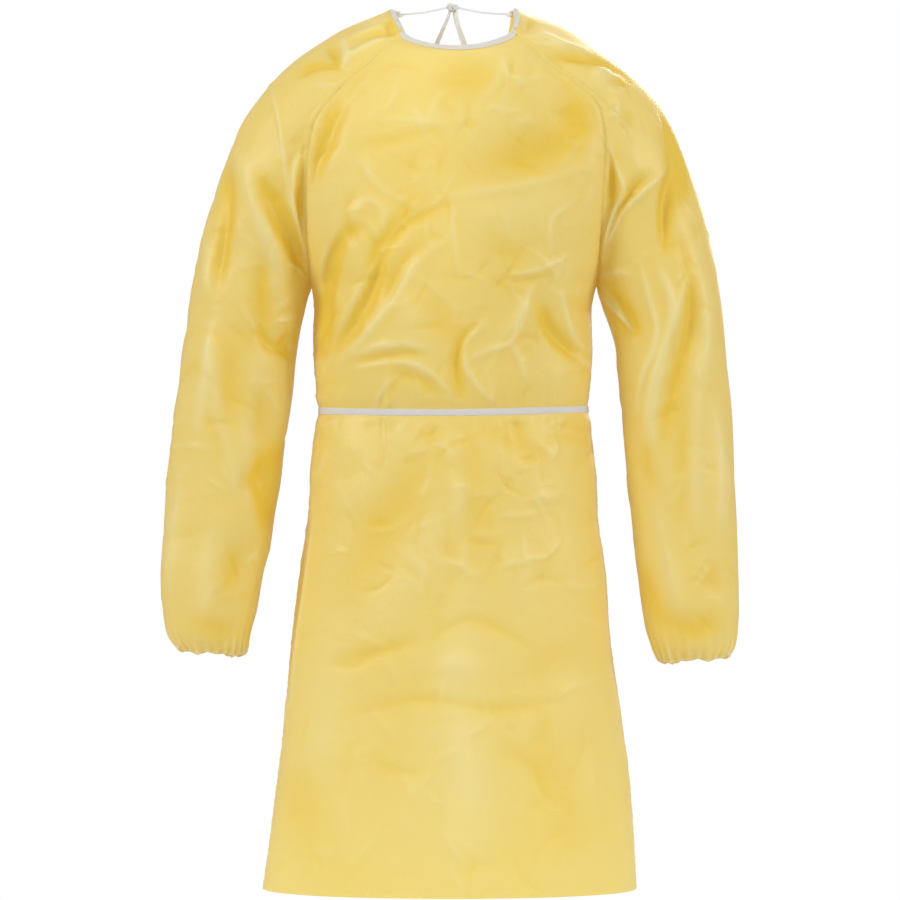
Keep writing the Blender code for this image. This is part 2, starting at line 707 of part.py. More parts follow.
def belt_run(piece, columns):
    """Belt sections that lie on a piece, one at each of its columns."""
    bottom = SKIRT_LEVELS.index(BELT_BOTTOM)
    sections = []
    for column in columns:
        low, high = piece.at(bottom, column), piece.at(bottom + 1, column)
        sections.append([
            piece.points[high] + piece.normals[high] * LAY_GAP,
            piece.points[low] + piece.normals[low] * LAY_GAP,
            piece.points[low] + piece.normals[low] * (LAY_GAP + TAPE_THICK),
            piece.points[high] + piece.normals[high] * (LAY_GAP + TAPE_THICK),
        ])
    return sections


def waist_belt(front, backs):
    """The belt from the knot round by the left side and back, and where the knot is."""
    left, right = backs["left"], backs["right"]
    bottom = SKIRT_LEVELS.index(BELT_BOTTOM)
    half_knot = BELT_KNOT_SIZE[0] / 2 + SEAM_GAP
    lapping = [left.points[left.at(bottom + up, c)] for c in range(3) for up in (0, 1)]
    panel = max(point[1] for point in lapping)
    knot_centre = (0.0, panel + SEAM_GAP + BELT_KNOT_SIZE[1] / 2 * KNOT_FULLEST, BELT_Z)

    def flat_section(x, y):
        return [(x, y, BELT_TOP), (x, y, BELT_BOTTOM),
                (x, y + TAPE_THICK, BELT_BOTTOM), (x, y + TAPE_THICK, BELT_TOP)]

    past_knot = [c for c in range(BACK_COLUMNS)
                 if left.points[left.at(bottom, c)][0] < -half_knot - BELT_RISE]
    past_lap = [c for c in range(BACK_COLUMNS + 1)
                if right.points[right.at(bottom, c)][0] > LAP_CLEAR]
    lap_edge = left.points[left.at(bottom, 0)][0]
    at_knot = knot_centre[1] - TAPE_THICK / 2
    sections = [flat_section(-half_knot, at_knot)]
    sections += belt_run(left, past_knot)
    sections += belt_run(front, range(FRONT_COLUMNS))
    sections += belt_run(right, past_lap)
    sections.append(flat_section(lap_edge + SEAM_GAP + LAP_LIFT, panel + LAY_GAP))
    sections.append(flat_section(half_knot, at_knot))
    return sweep(sections), knot_centre


def make_object(name, points, faces, material):
    mesh = bpy.data.meshes.new(name)
    mesh.from_pydata((np.asarray(points) * MM).tolist(), [], faces)
    mesh.validate()
    body = bmesh.new()
    body.from_mesh(mesh)
    bmesh.ops.triangulate(body, faces=body.faces[:])
    body.normal_update()
    if body.calc_volume(signed=True) < 0:
        bmesh.ops.reverse_faces(body, faces=body.faces[:])
    body.to_mesh(mesh)
    body.free()
    mesh.materials.append(material)
    mesh.shade_smooth()
    mesh.set_sharp_from_angle(angle=SMOOTH_ANGLE)
    thing = bpy.data.objects.new(name, mesh)
    bpy.context.scene.collection.objects.link(thing)
    return thing


def make_material(name, colour, roughness):
    material = bpy.data.materials.new(name)
    material.use_nodes = True
    shader = material.node_tree.nodes["Principled BSDF"]
    shader.inputs["Base Color"].default_value = colour
    shader.inputs["Roughness"].default_value = roughness
    shader.inputs["Metallic"].default_value = 0.0
    return material


def cloth_material(name):
    return make_material(name + "_cloth", CLOTH_COLOUR, CLOTH_ROUGHNESS)


def tape_material(name):
    return make_material(name + "_tape", TAPE_COLOUR, TAPE_ROUGHNESS)


def make_tape(name, shape):
    points, faces = shape
    return make_object(name, points, faces, tape_material(name))


def neck_tie(last, before, hand):
    """A tie from the last section of the neck tape to the knot, half twisted."""
    sign = -1 if hand == "left" else 1
    tape_way = unit(last[1] - last[2])
    onward = unit(np.cross(tape_way, last[0] - last[1]))
    onward *= np.sign(onward @ (last - before).mean(axis=0))
    start = last.mean(axis=0) + onward * TIE_GAP
    finish = np.array(NECK_KNOT_AT) + (sign * (NECK_KNOT_SIZE[0] / 2 + SEAM_GAP), 0, 0)
    sag = np.array([sign * 36, 86, (start[2] + finish[2]) / 2 - 1.0])
    path = spaced_along([start, start + onward * TIE_LEAD, sag, finish], TIE_STEPS)
    turned = smooth_step(np.linspace(0, 1, TIE_STEPS + 1) / TIE_TURNED)[:, None]
    return ribbon(path, tape_way * (1 - turned) + np.array([0, 1.0, 0.1]) * turned, onward)


def neck_tail(points, beside, first_turn):
    """A free tie end that hangs from the knot, turning slowly as it falls."""
    start = under_knot(NECK_KNOT_AT, NECK_KNOT_SIZE, beside)
    path = spaced_along([start, *points], TAIL_STEPS)
    share = np.linspace(0, 1, TAIL_STEPS + 1)[:, None]
    angle = first_turn * np.cos(2.6 * share) * (1 - 0.4 * share)
    ways = np.concatenate([np.cos(angle), np.sin(angle), 0 * angle], axis=1)
    return ribbon(path, ways)


def belt_tail(knot_centre, hand):
    """A belt end that hangs down the back of the skirt."""
    which = 0 if hand == "left" else 1
    drop, spread = BELT_TAIL_DROP[which], BELT_TAIL_SPREAD[which]
    beside = np.sign(spread) * (TAPE_WIDTH / 2 + 0.6)
    start = under_knot(knot_centre, BELT_KNOT_SIZE, beside)
    points = [start]
    for share in np.linspace(0, 1, 9)[1:]:
        z = start[2] - drop * share
        x = beside + (spread - beside) * share ** 0.6
        skin = read_table(BODY, BODY_NAMES, z)["back"] + LAP_LIFT
        points.append((x, skin + BELT_TAIL_OFF, z))
    path = spaced_along(points, TAIL_STEPS)
    share = np.linspace(0, 1, TAIL_STEPS + 1)[:, None]
    angle = 0.25 * np.sin(5 * share + which) * share
    ways = np.concatenate([np.cos(angle), 0.3 * np.sin(angle), 0 * angle], axis=1)
    return ribbon(path, ways)


def build_gown():
    front = front_panel()
    backs = {hand: back_panel(hand) for hand in ("left", "right")}
    sleeves = {hand: sleeve(hand) for hand in ("left", "right")}
    press_folds(front, FRONT_FOLDS, -1)
    for hand in ("left", "right"):
        press_folds(backs[hand], BACK_FOLDS, 1)
        press_folds(sleeves[hand], SLEEVE_FOLDS, -1)
        press_folds(sleeves[hand], SLEEVE_BACK_FOLDS, 1)
    sew(front, backs, sleeves)
    for piece in (front, *backs.values(), *sleeves.values()):
        points, faces = piece.solid()
        make_object(piece.name, points, faces, cloth_material(piece.name))

    binding, sections = neck_binding(front, backs, sleeves)
    make_tape("neck_binding", binding)
    make_tape("neck_tie_left", neck_tie(sections[0], sections[1], "left"))
    make_tape("neck_tie_right", neck_tie(sections[-1], sections[-2], "right"))
    make_tape("neck_knot", knot(NECK_KNOT_AT, NECK_KNOT_SIZE))
    make_tape("neck_tail_left", neck_tail(NECK_TAIL_LEFT, -3.5, 1.15))
    make_tape("neck_tail_right", neck_tail(NECK_TAIL_RIGHT, 3.5, -0.8))

    belt, knot_centre = waist_belt(front, backs)
    make_tape("waist_belt", belt)
    make_tape("belt_knot", knot(knot_centre, BELT_KNOT_SIZE))
    make_tape("belt_tail_left", belt_tail(knot_centre, "left"))
    make_tape("belt_tail_right", belt_tail(knot_centre, "right"))


clear_scene()
build_gown()
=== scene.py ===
import math
from functools import partialmethod

import bmesh
import bpy
import mathutils
import numpy as np
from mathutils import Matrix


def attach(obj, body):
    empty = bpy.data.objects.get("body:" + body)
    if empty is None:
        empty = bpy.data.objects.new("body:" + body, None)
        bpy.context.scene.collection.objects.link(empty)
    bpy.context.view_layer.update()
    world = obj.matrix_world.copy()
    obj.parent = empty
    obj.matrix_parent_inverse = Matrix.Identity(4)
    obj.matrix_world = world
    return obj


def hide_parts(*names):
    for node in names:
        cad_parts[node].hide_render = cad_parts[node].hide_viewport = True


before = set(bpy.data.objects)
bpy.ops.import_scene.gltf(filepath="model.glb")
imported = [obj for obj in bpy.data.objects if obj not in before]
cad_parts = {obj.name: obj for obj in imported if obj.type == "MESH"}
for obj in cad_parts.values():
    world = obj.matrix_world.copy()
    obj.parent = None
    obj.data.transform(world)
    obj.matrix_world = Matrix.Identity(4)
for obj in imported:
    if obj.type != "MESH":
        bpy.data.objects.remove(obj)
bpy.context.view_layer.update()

# The cloth of the gown. A coated nonwoven, cut flat and sewn into a front, two backs and two
# raglan sleeves, hangs here in its worn shape. Its walls are thin shells on the forms of the
# CAD panels, in the same frame: +Z up, the front faces -Y, left and right as seen from there.
MM = 0.001
STEP = 8                     # cloth cells for one of the CAD's
FINE = 4                     # points a cell while a row takes shape
TAPE_WIDTH = 9.0
BELT_Z = -502.0
HEM_Z = -1122.0
ARMPIT_Z = -341.0
BELT_BOTTOM = BELT_Z - TAPE_WIDTH / 2
BELT_TOP = BELT_Z + TAPE_WIDTH / 2
SKIRT_LEVELS = 212
CHEST_LEVELS = 54
LEVELS = np.concatenate([
    np.linspace(HEM_Z, BELT_BOTTOM, SKIRT_LEVELS)[:-1],
    [BELT_BOTTOM, BELT_Z, BELT_TOP],
    np.linspace(BELT_TOP, ARMPIT_Z, CHEST_LEVELS)[1:-1],
])

# z, width left, width right, depth in front, depth behind
BODY = [
    (ARMPIT_Z, 182.5, 186.5, 127, 106), (-363, 180, 181.5, 126, 105), (-408, 181, 181, 124, 103),
    (-437, 180, 180.5, 122, 102), (-470, 177, 178, 119, 101), (-488, 175.5, 176.5, 114.5, 99),
    (BELT_Z, 173, 175, 109, 97), (-515, 176, 178, 112.5, 99.5), (-541, 180, 181, 119, 105),
    (-593, 184, 187, 124, 113), (-645, 188, 189, 127, 119), (-697, 196, 196, 130, 124),
    (-801, 209, 205, 137, 130), (-905, 218, 220, 143, 135), (-1009, 231, 232, 148, 139),
    (HEM_Z, 245, 239, 153, 143),
]
LEFT, RIGHT, FRONT, BACK = range(1, 5)
BODY_ROUND = 0.80


def unit(vectors):
    vectors = np.asarray(vectors, float)
    return vectors / np.maximum(np.linalg.norm(vectors, axis=-1, keepdims=True), 1e-12)


def smooth_through(at, known, values):
    """A smooth curve through known values, read at the places asked for."""
    known = np.asarray(known, float)
    values = np.asarray(values, float)
    order = np.argsort(known)
    known, values = known[order], values[order]
    slopes = np.gradient(values, known, axis=0)
    at = np.clip(np.asarray(at, float), known[0], known[-1])
    cell = np.clip(np.searchsorted(known, at) - 1, 0, len(known) - 2)
    span = known[cell + 1] - known[cell]
    t = (at - known[cell]) / span
    if values.ndim > 1:
        t, span = t[..., None], span[..., None]
    return ((2 * t**3 - 3 * t**2 + 1) * values[cell] + (t**3 - 2 * t**2 + t) * span * slopes[cell]
            + (3 * t**2 - 2 * t**3) * values[cell + 1] + (t**3 - t**2) * span * slopes[cell + 1])


def table_at(rows, at):
    """The rows of a table at values of its first column, one row for each value."""
    table = np.array(rows, float)
    return smooth_through(np.atleast_1d(at), table[:, 0], table)


def run_along(points):
    """Distance along a line of points."""
    return np.concatenate([[0], np.cumsum(np.linalg.norm(np.diff(points, axis=0), axis=1))])


def spaced_along(points, steps):
    """The smooth curve through points, as steps of equal length."""
    points = np.array(points, float)
    run = run_along(points)
    return smooth_through(np.linspace(0, run[-1], steps + 1), run, points)


def smooth_step(value):
    value = np.clip(value, 0, 1)
    return value * value * (3 - 2 * value)


def closed_up(grid):
    """A grid of points or numbers, with its first column again after its last."""
    return np.concatenate([grid, grid[:, :1]], axis=1)


def corners_of(grid):
    """The corners round each cell of a grid, one row for a cell."""
    around = (grid[:-1, :-1], grid[:-1, 1:], grid[1:, 1:], grid[1:, :-1])
    return np.stack([corner.reshape(-1, *grid.shape[2:]) for corner in around], axis=1)


def placed(name, data):
    """A new object in the scene that shows a mesh, a lamp or a camera."""
    thing = bpy.data.objects.new(name, data)
    bpy.context.scene.collection.objects.link(thing)
    return thing


def smooth_thing(name, points, faces, material, uv_name, uv):
    """A smooth object through points in mm, with one UV map in metres."""
    mesh = bpy.data.meshes.new(name)
    mesh.from_pydata((points.reshape(-1, 3) * MM).tolist(), [], faces)
    layer = mesh.uv_layers.new(name=uv_name)
    layer.data.foreach_set("uv", uv.ravel())
    mesh.shade_smooth()
    mesh.materials.append(material)
    return placed(name, mesh)


# The raglan seams, armpit to neck, and the neck edges that the sleeves make between them.
# Each seam is one line of stitching that joins a sleeve to the front or to a back panel.
SEAM_FRONT_LEFT = [
    (-182.5, 0, -341), (-184, -29, -320), (-185.5, -48, -294), (-187, -65, -258),
    (-187, -76, -217), (-184, -82, -169), (-175, -83, -129), (-157, -81, -104),
    (-129, -76, -75), (-105, -69, -55), (-88, -61, -35), (-61, -46, -17),
]
SEAM_BACK_LEFT = [
    (-182.5, 0, -341), (-184, 29, -320), (-185.5, 48, -294), (-187, 65, -257),
    (-187, 76, -215), (-184, 82, -172), (-177, 83, -132), (-165, 79, -88),
    (-146, 71, -50), (-122, 60, -18), (-98, 47, 6), (-73, 32, 19),
]
SEAM_FRONT_RIGHT = [
    (186.5, 0, -341), (187.5, -29, -320), (189, -48, -293), (191, -66, -252),
    (193.5, -77, -211), (194.5, -82, -170), (193, -84, -138), (186, -83.5, -110),
    (168, -81, -91), (144, -76, -73), (118, -69, -53), (100, -60, -34), (76, -46, -14),
]
SEAM_BACK_RIGHT = [
    (186.5, 0, -341), (187.5, 29, -320), (189, 48, -293), (191, 65, -255),
    (194, 76, -213), (193, 82, -170), (187, 83, -130), (174, 79, -86),
    (154, 71, -48), (128, 60, -17), (103, 47, 6), (78, 32, 19.5),
]
NECK_LEFT = [(-61, -46, -17), (-69, -20, 1), (-73.5, 4, 12.5), (-74.5, 19, 17), (-73, 32, 19)]
NECK_RIGHT = [(76, -46, -14), (80, -20, 1), (80.5, 4, 12), (79.5, 19, 17), (78, 32, 19.5)]
SEAM_CELLS = 15 * STEP
NECK_CELLS = 4 * STEP
YOKE_SHARES = np.linspace(0, 1, SEAM_CELLS + 1)

FRONT_SEAM = {"left": spaced_along(SEAM_FRONT_LEFT, SEAM_CELLS),
              "right": spaced_along(SEAM_FRONT_RIGHT, SEAM_CELLS)}
BACK_SEAM = {"left": spaced_along(SEAM_BACK_LEFT, SEAM_CELLS),
             "right": spaced_along(SEAM_BACK_RIGHT, SEAM_CELLS)}


class Cloth:
    """A cut piece as a grid of points in mm: rows across it, from the hem or the armhole."""

    def __init__(self, name, rows, closed=False, turned=False):
        self.name = name
        self.points = np.array(rows, float)
        self.closed = closed
        self.turned = turned
        along = closed_up(self.points) if closed else self.points
        across_steps = np.linalg.norm(np.diff(along, axis=1), axis=2)
        up_steps = np.linalg.norm(np.diff(self.points, axis=0), axis=2)
        self.across = np.concatenate([0 * across_steps[:, :1], across_steps.cumsum(1)], 1)
        self.up = np.concatenate([0 * up_steps[:1], up_steps.cumsum(0)])
        # Painted fold shading: painted highlight on crests, painted shade in troughs, fed later to
        # the base colour.
        self.painted_fold_shading = np.zeros(self.points.shape[:2])

    def normals(self):
        up = np.gradient(self.points, axis=0)
        if self.closed:
            along = np.roll(self.points, -1, axis=1) - np.roll(self.points, 1, axis=1)
        else:
            along = np.gradient(self.points, axis=1)
        return unit(np.cross(along, up)) * (-1 if self.turned else 1)

    def press(self, height, painted_light):
        """Move the cloth along its normals, and keep the painted highlight on the folds' crests and
        the painted shade in their troughs for the base colour.
        """
        self.points += self.normals() * height[..., None]
        self.painted_fold_shading += painted_light

    def side_distances(self):
        """How far each point is from the first and from the last column."""
        first = self.across[:, :self.points.shape[1]]
        return first, self.across[:, -1:] - first

    def to_last_row(self):
        return self.up[-1:] - self.up

    def make(self, material):
        """The object, with the cloth's own UV map and its painted fold shading."""
        rows, columns = self.points.shape[:2]
        index = np.arange(rows * columns).reshape(rows, columns)
        if self.closed:
            index = closed_up(index)
        cells = index.shape[1] - 1
        across = np.arange(cells + 1) * (self.across[:, -1].max() / cells)
        up = np.arange(rows) * (self.up[-1].max() / (rows - 1))
        faces = corners_of(index)
        uv = corners_of(np.stack(np.meshgrid(across, up), axis=2) * MM)
        if self.turned:
            faces, uv = faces[:, ::-1], uv[:, ::-1]
        thing = smooth_thing(self.name, self.points, faces.tolist(), material, "cloth", uv)
        painted_fold_shading = thing.data.attributes.new("painted_fold_shading", "FLOAT", "POINT")
        painted_fold_shading.data.foreach_set("value", self.painted_fold_shading.ravel().astype(np.float32))
        return thing


# Folds. Each is a line on the cloth as the photograph's viewer sees it, in mm from the origin.
# A row of a fold table is its height (negative for a trough), its breadth, how crisp its crest
# is from 0 to 1, then x and z of each point. Folds die away at seams and at their own ends.
VIEW_DISTANCE = 5800.0
VIEW_X, VIEW_Z = -3.25, -553.8
CRUMPLE_BREADTH = (3.5, 7.5)
CRUMPLE_CRISP = (0.4, 1)
SWELL_WAVES = 16
PUCKER_LENGTHS = (9, 13, 21, 34)


def as_seen(points):
    """Places in the picture plane through the origin, as seen from the camera."""
    spread = VIEW_DISTANCE / (VIEW_DISTANCE + points[..., 1])
    return VIEW_X + (points[..., 0] - VIEW_X) * spread, VIEW_Z + (points[..., 2] - VIEW_Z) * spread


def fold_relief(x, z, folds):
    """Height of all the folds at places in the picture plane, with painted highlight on their
    crests and painted shade in their troughs.
    """
    height, painted_light = np.zeros(x.shape), np.zeros(x.shape)
    for rise, breadth, crisp, *line in folds:
        line = np.reshape(line, (-1, 2)).astype(float)
        reach = 4 * breadth
        near = ((x > line[:, 0].min() - reach) & (x < line[:, 0].max() + reach)
                & (z > line[:, 1].min() - reach) & (z < line[:, 1].max() + reach))
        if not near.any():
            continue
        line = spaced_along(line, 4 * len(line))
        start, run = line[:-1], np.diff(line, axis=0)
        here = np.stack([x[near], z[near]], axis=-1)[:, None]
        t = np.clip(((here - start) * run).sum(-1) / (run * run).sum(-1), 0, 1)
        away = np.linalg.norm(here - (start + t[..., None] * run), axis=-1)
        nearest = away.argmin(1)[:, None]
        distance = np.take_along_axis(away, nearest, 1)[:, 0]
        along = (nearest[:, 0] + np.take_along_axis(t, nearest, 1)[:, 0]) / len(run)
        ends = np.sin(np.pi * np.clip(0.04 + 0.92 * along, 0, 1)) ** 0.8
        soft = np.exp(-(distance / breadth) ** 2)
        sharp = np.exp(-distance / (0.8 * breadth))
        height[near] += rise * ends * ((1 - crisp) * soft + crisp * sharp)
        # Crests get a painted highlight and troughs get painted shade, kept apart from the height
        # for the base colour.
        if rise > 0:
            pale = np.exp(-(distance / breadth * (1 + crisp)) ** 2)
            painted_light[near] += rise * ends * (0.6 + 0.9 * crisp) * pale
        else:
            dark = np.exp(-(distance / breadth / 1.1) ** 2)
            painted_light[near] += rise * ends * min(0.9, 22.0 / breadth) * dark
    return np.array([height, painted_light])


def crumples(x, z, seed, count, region, size, length):
    """Short creases of a crisp cloth, strewn unevenly over a region of the picture plane."""
    draw = np.random.default_rng(seed)
    x0, z0, x1, z1 = region
    folds = []
    for _ in range(count):
        place = np.array([draw.uniform(x0, x1), draw.uniform(z0, z1)])
        heading = draw.uniform(0, math.pi)
        reach = draw.uniform(0.4, 1.0) * length / 2
        bend = draw.uniform(-0.35, 0.35) * reach
        way = np.array([math.cos(heading), math.sin(heading)])
        side = np.array([-way[1], way[0]])
        line = np.ravel([place - way * reach, place + side * bend, place + way * reach])
        folds.append((draw.uniform(-1, 1) * size, draw.uniform(*CRUMPLE_BREADTH),
                      draw.uniform(*CRUMPLE_CRISP), *line))
    return fold_relief(x, z, folds)


def undulation(points, seed, size, shortest, longest):
    """Soft uneven swells of a hanging cloth, as a sum of slanting waves."""
    draw = np.random.default_rng(seed)
    height = np.zeros(points.shape[:-1])
    for _ in range(SWELL_WAVES):
        heading = unit(draw.normal(size=3))
        length = draw.uniform(shortest, longest)
        height += np.sin(points @ heading * (2 * math.pi / length) + draw.uniform(0, 6.28))
    return height * size / math.sqrt(SWELL_WAVES)


def waves_along(run, lengths, draw):
    """The sum of one wave of each length along a run, each begun where a draw says."""
    return sum(np.sin(run * (2 * math.pi / length) + draw.uniform(0, 6.28)) for length in lengths)


def seam_pucker(distance, run, seed, size=0.9):
    """The cloth puffs up beside a sewn seam, in small uneven puckers along it."""
    wave = waves_along(run, PUCKER_LENGTHS, np.random.default_rng(seed))
    rise = (1 - np.exp(-(distance / 3.0) ** 2)) * np.exp(-distance / 9.0)
    return size * rise * (1 + 0.38 * wave)


# Front panel. One wide piece from the neck to the hem, nipped in by the belt. The arms drag
# long folds across the chest towards the armpits, and the belt bunches the cloth above it.
YOKE = [   # share of the seam, depth at the middle, drop at the middle, fullness
    (0.0, -127, 0, 0.80), (0.2, -127, 0, 0.95), (0.4, -124, 0, 1.20), (0.6, -117, 0, 1.45),
    (0.8, -104, 4, 1.65), (0.92, -90, 13, 1.75), (1.0, -79, 20, 1.80),
]
FRONT_CELLS = 26 * STEP
SEAM_FADE = 15.0             # folds die away this close to a seam,
NECK_FADE = 22.0             # and this close to the neck
FRONT_FOLDS = [
    (-7, 12, 0, -138, -96, -159, -138, -175, -177, -184, -213),
    (-10, 11, 0, -8, -230, -58, -256, -93, -295, -106, -343, -136, -398, -162, -426),
    (5.5, 8, 0.45, -3, -225, -40, -240, -72, -265, -95, -300, -113, -335, -133, -370, -161, -426),
    (-8, 12, 0, -112, -260, -142, -278, -161, -320, -167, -359, -168, -417),
    (3.5, 6, 0.6, -149, -263, -168, -302, -175, -359),
    (3, 6, 0.6, -133, -250, -108, -229, -94, -236, -89, -273),
    (4, 8, 0.5, -16, -285, -50, -315, -73, -354, -105, -395, -149, -439),
    (-4, 10, 0.1, -41, -282, -71, -322, -86, -374),
    (3, 18, 0, -71, -348, -55, -382, -50, -417),
    (4, 7, 0.6, -131, -429, -81, -416, -28, -419),
    (-3.5, 8, 0.2, -125, -438, -75, -430, -41, -426),
    (4, 6, 0.8, -124, -447, -84, -438, -58, -438, -29, -451, -1, -477),
    (-3.5, 8, 0.2, -86, -481, -66, -454, -41, -460, -15, -484),
    (3, 6, 0.6, -102, -494, -90, -471, -66, -450),
    (-6, 8, 0.2, 37, -385, 14, -411, 6, -438, 12, -489),
    (4, 6, 0.7, 46, -387, 19, -412, 15, -437, 37, -472, 59, -493),
    (4, 6, 0.8, 102, -341, 90, -378, 75, -413, 44, -424, 18, -437),
    (3, 6, 0.7, 75, -413, 89, -438, 96, -464),
    (-8, 10, 0.1, 114, -363, 127, -395, 153, -424, 176, -443),
    (4, 6, 0.7, 140, -343, 148, -378, 161, -410, 179, -430),
    (4, 7, 0.7, 161, -425, 179, -451),
    (3, 5, 0.8, 70, -326, 101, -322, 128, -313, 150, -302),
    (-2.5, 6, 0.4, 72, -334, 103, -332, 129, -324),
    (2.5, 5, 0.8, 154, -233, 131, -251, 128, -303),
    (3, 12, 0.2, 150, -309, 135, -341),
    (2.5, 5, 0.7, 1, -231, 3, -283, 11, -328),
    (-2, 6, 0.3, -5, -328, 10, -330, 29, -329),
    (-2.5, 8, 0.2, -123, -161, -68, -150, -5, -136),
    (2, 7, 0.4, -98, -127, -55, -124, -8, -133),
    (2, 6, 0.6, -120, -177, -98, -209, -84, -226),
    (-4, 18, 0, -21, -83, 23, -70, 59, -66),
    (2, 6, 0.7, 41, -114, 53, -108, 70, -122),
    (-2, 5, 0.5, 12, -131, 32, -133),
    (2, 6, 0.6, 58, -104, 77, -113, 90, -109),
    (-4, 24, 0, 30, -192, 95, -172, 150, -150, 192, -118),
    (2.2, 8, 0.4, -12, -226, 60, -214, 120, -203, 176, -184),
    (-4, 16, 0, 166, -91, 150, -114, 142, -140),
    (3, 12, 0.1, 177, -114, 181, -151, 176, -198),
    (-3.5, 8, 0.3, -8, -512, -21, -526, -38, -543),
    (3, 12, 0.2, -8, -520, 3, -593, 11, -658),
    (-3.5, 8, 0.3, 79, -511, 86, -530, 89, -546),
    (-2.5, 6, 0.3, 83, -566, 98, -566, 110, -562),
    (2.5, 7, 0.5, 109, -542, 124, -551, 131, -569),
    (2, 6, 0.6, 107, -616, 118, -612, 125, -620),
    (1.2, 13, 0.1, -155, -528, -101, -560, -49, -530),
    (1.0, 12, 0.1, -163, -603, -133, -628, -106, -611),
    (-2.5, 12, 0.1, 36, -515, 81, -547, 133, -560),
    (-3, 26, 0, -15, -545, -60, -610, -110, -690, -150, -758),
    (-1.5, 22, 0, 93, -848, 129, -832, 168, -827),
    (3, 30, 0, 23, -697, 7, -840, 18, -1009),
    (3, 30, 0, -159, -801, -170, -931, -175, -1061),
    (-1.8, 24, 0, 109, -931, 140, -1009, 155, -1087),
    (3.5, 5, 0.6, -180, -630, -188, -690, -198, -760, -205, -820, -210, -885),
    (-5, 4, 0.2, -185, -640, -193, -690, -203, -760, -210, -820, -215, -875),
    (2, 20, 0, -68, -554, -100, -590, -133, -619),
    (3.5, 22, 0, -3, -619, -49, -710, -107, -794),
    (-1.6, 14, 0, 23, -528, 29, -619, 33, -723),
    (2.5, 16, 0, 68, -671, 94, -762),
    (2, 14, 0, 66, -541, 52, -580),
    (-2.5, 9, 0.2, -29, -801, 23, -775, 62, -788, 101, -814),
    (3.5, 16, 0, -22, -836, 8, -833, 38, -840),
    (-3, 11, 0.1, -159, -833, -107, -820, -42, -801),
    (-2.2, 9, 0.2, -133, -898, -42, -879, 62, -892, 140, -879),
    (5, 40, 0, 3, -905, 23, -996, -3, -1087),
    (2.5, 30, 0, -42, -944, -55, -1061),
    (-4, 34, 0, -198, -957, -190, -1020, -180, -1080),
    (-2, 8, 0.3, -100, -960, -60, -975, -30, -965),
    (-1.8, 10, 0.2, 60, -940, 95, -960, 120, -1000),
    (1.5, 18, 0, 94, -898, 88, -996),
    (-2.5, 22, 0, 143, -110, 178, -140, 182, -190),
    (2.5, 28, 0, 3, -248, 88, -242, 150, -222),
    (1.8, 20, 0, -68, -151, -16, -125, 49, -118),
    (-2.2, 15, 0, -29, -350, -14, -385, 3, -417),
    (-2, 10, 0.2, 40, -290, 75, -300, 110, -285),
    (2.5, 10, 0.4, 96, -350, 84, -385, 60, -408),
]
CRUMPLES = [   # how many, their region in the picture, height, length
    (170, (-190, -500, 190, -60), 2.0, 70), (140, (-210, -730, 210, -505), 2.0, 60),
    (90, (-250, -1110, 250, -730), 1.2, 90),
]
SWELL = (1.3, 70, 260)       # height, shortest and longest
PLEATS = (14, 19, 29, 43)    # lengths of the belt's gathers, and of their uneven patches
PATCHES = (67, 103, 151)
GATHERS_ABOVE, GATHERS_BELOW = 17.0, 13.0
BELT_HALF = 175              # the belt from its middle to a side
BELT_TILT = 1.2
BELT_SAG = 3.8
BELT_DRAG = 70               # how far up and down the belt takes the cloth along


def front_row(left, right, middle, drop, fullness):
    """One row of the front, from its left edge round to its right edge."""
    turn = np.linspace(0, math.pi, FINE * FRONT_CELLS + 1)
    bulge = np.sin(turn) ** fullness
    row = left + (right - left) * ((1 - np.cos(turn)) / 2)[:, None]
    row[:, 1] += (middle - (left[1] + right[1]) / 2) * bulge
    row[:, 2] -= drop * np.sin(turn) ** 1.5
    row = spaced_along(row, FRONT_CELLS)
    row[0], row[-1] = left, right
    return row


def belt_gathers(cloth, seed, size):
    """Small uneven puckers above and below the belt, none under it."""
    draw = np.random.default_rng(seed)
    x, z = cloth.points[..., 0], cloth.points[..., 2]
    from_belt = np.abs(z - BELT_Z)
    pleats = 0
    for length in PLEATS:
        lean = 0.05 * draw.uniform(-1, 1)
        pleats = pleats + waves_along(x + lean * z, (length,), draw)
    patches = waves_along(x, PATCHES, draw)
    reach = np.where(z > BELT_Z, GATHERS_ABOVE, GATHERS_BELOW) * (1 + 0.3 * patches)
    near = np.exp(-from_belt / np.clip(reach, 5, None)) * smooth_step((from_belt - 4) / 9)
    return size * pleats * (0.45 + 0.2 * patches) * near


def press_body(cloth, folds, seed, sewn, gathers):
    """Folds, crumples and soft swells of a body panel, kept flat under belt and at seams."""
    x, z = as_seen(cloth.points)
    relief = fold_relief(x, z, folds)
    for number, crumple in enumerate(CRUMPLES):
        relief += crumples(x, z, seed + number, *crumple)
    swell = undulation(cloth.points, seed + 3, *SWELL)
    sides = zip(cloth.side_distances(), (seed + 5, seed + 6), sewn)
    seams = [(distance, pucker_seed) for distance, pucker_seed, is_seam in sides if is_seam]
    fade = smooth_step(cloth.to_last_row() / NECK_FADE)
    for distance, _ in seams:
        fade = fade * smooth_step(distance / SEAM_FADE)
    under_belt = smooth_step((np.abs(cloth.points[..., 2] - BELT_Z) - 5) / 14)
    # The folds' painted highlight and painted shade fade out with their heights.
    height, painted_light = relief * fade * under_belt
    height = height + (swell * under_belt + belt_gathers(cloth, seed + 4, gathers)) * fade
    for distance, pucker_seed in seams:
        height = height + seam_pucker(distance, cloth.up, pucker_seed)
    cloth.press(height, painted_light)


def hang_belt(cloth, sag):
    """The belt runs up a little to one side and sags in front, and takes the cloth with it."""
    x, z = cloth.points[..., 0], cloth.points[..., 2]
    shift = BELT_TILT * x / BELT_HALF - sag * np.cos(np.clip(x / BELT_HALF, -1, 1) * math.pi / 2)
    cloth.points[..., 2] += shift * np.exp(-((z - BELT_Z) / BELT_DRAG) ** 2)


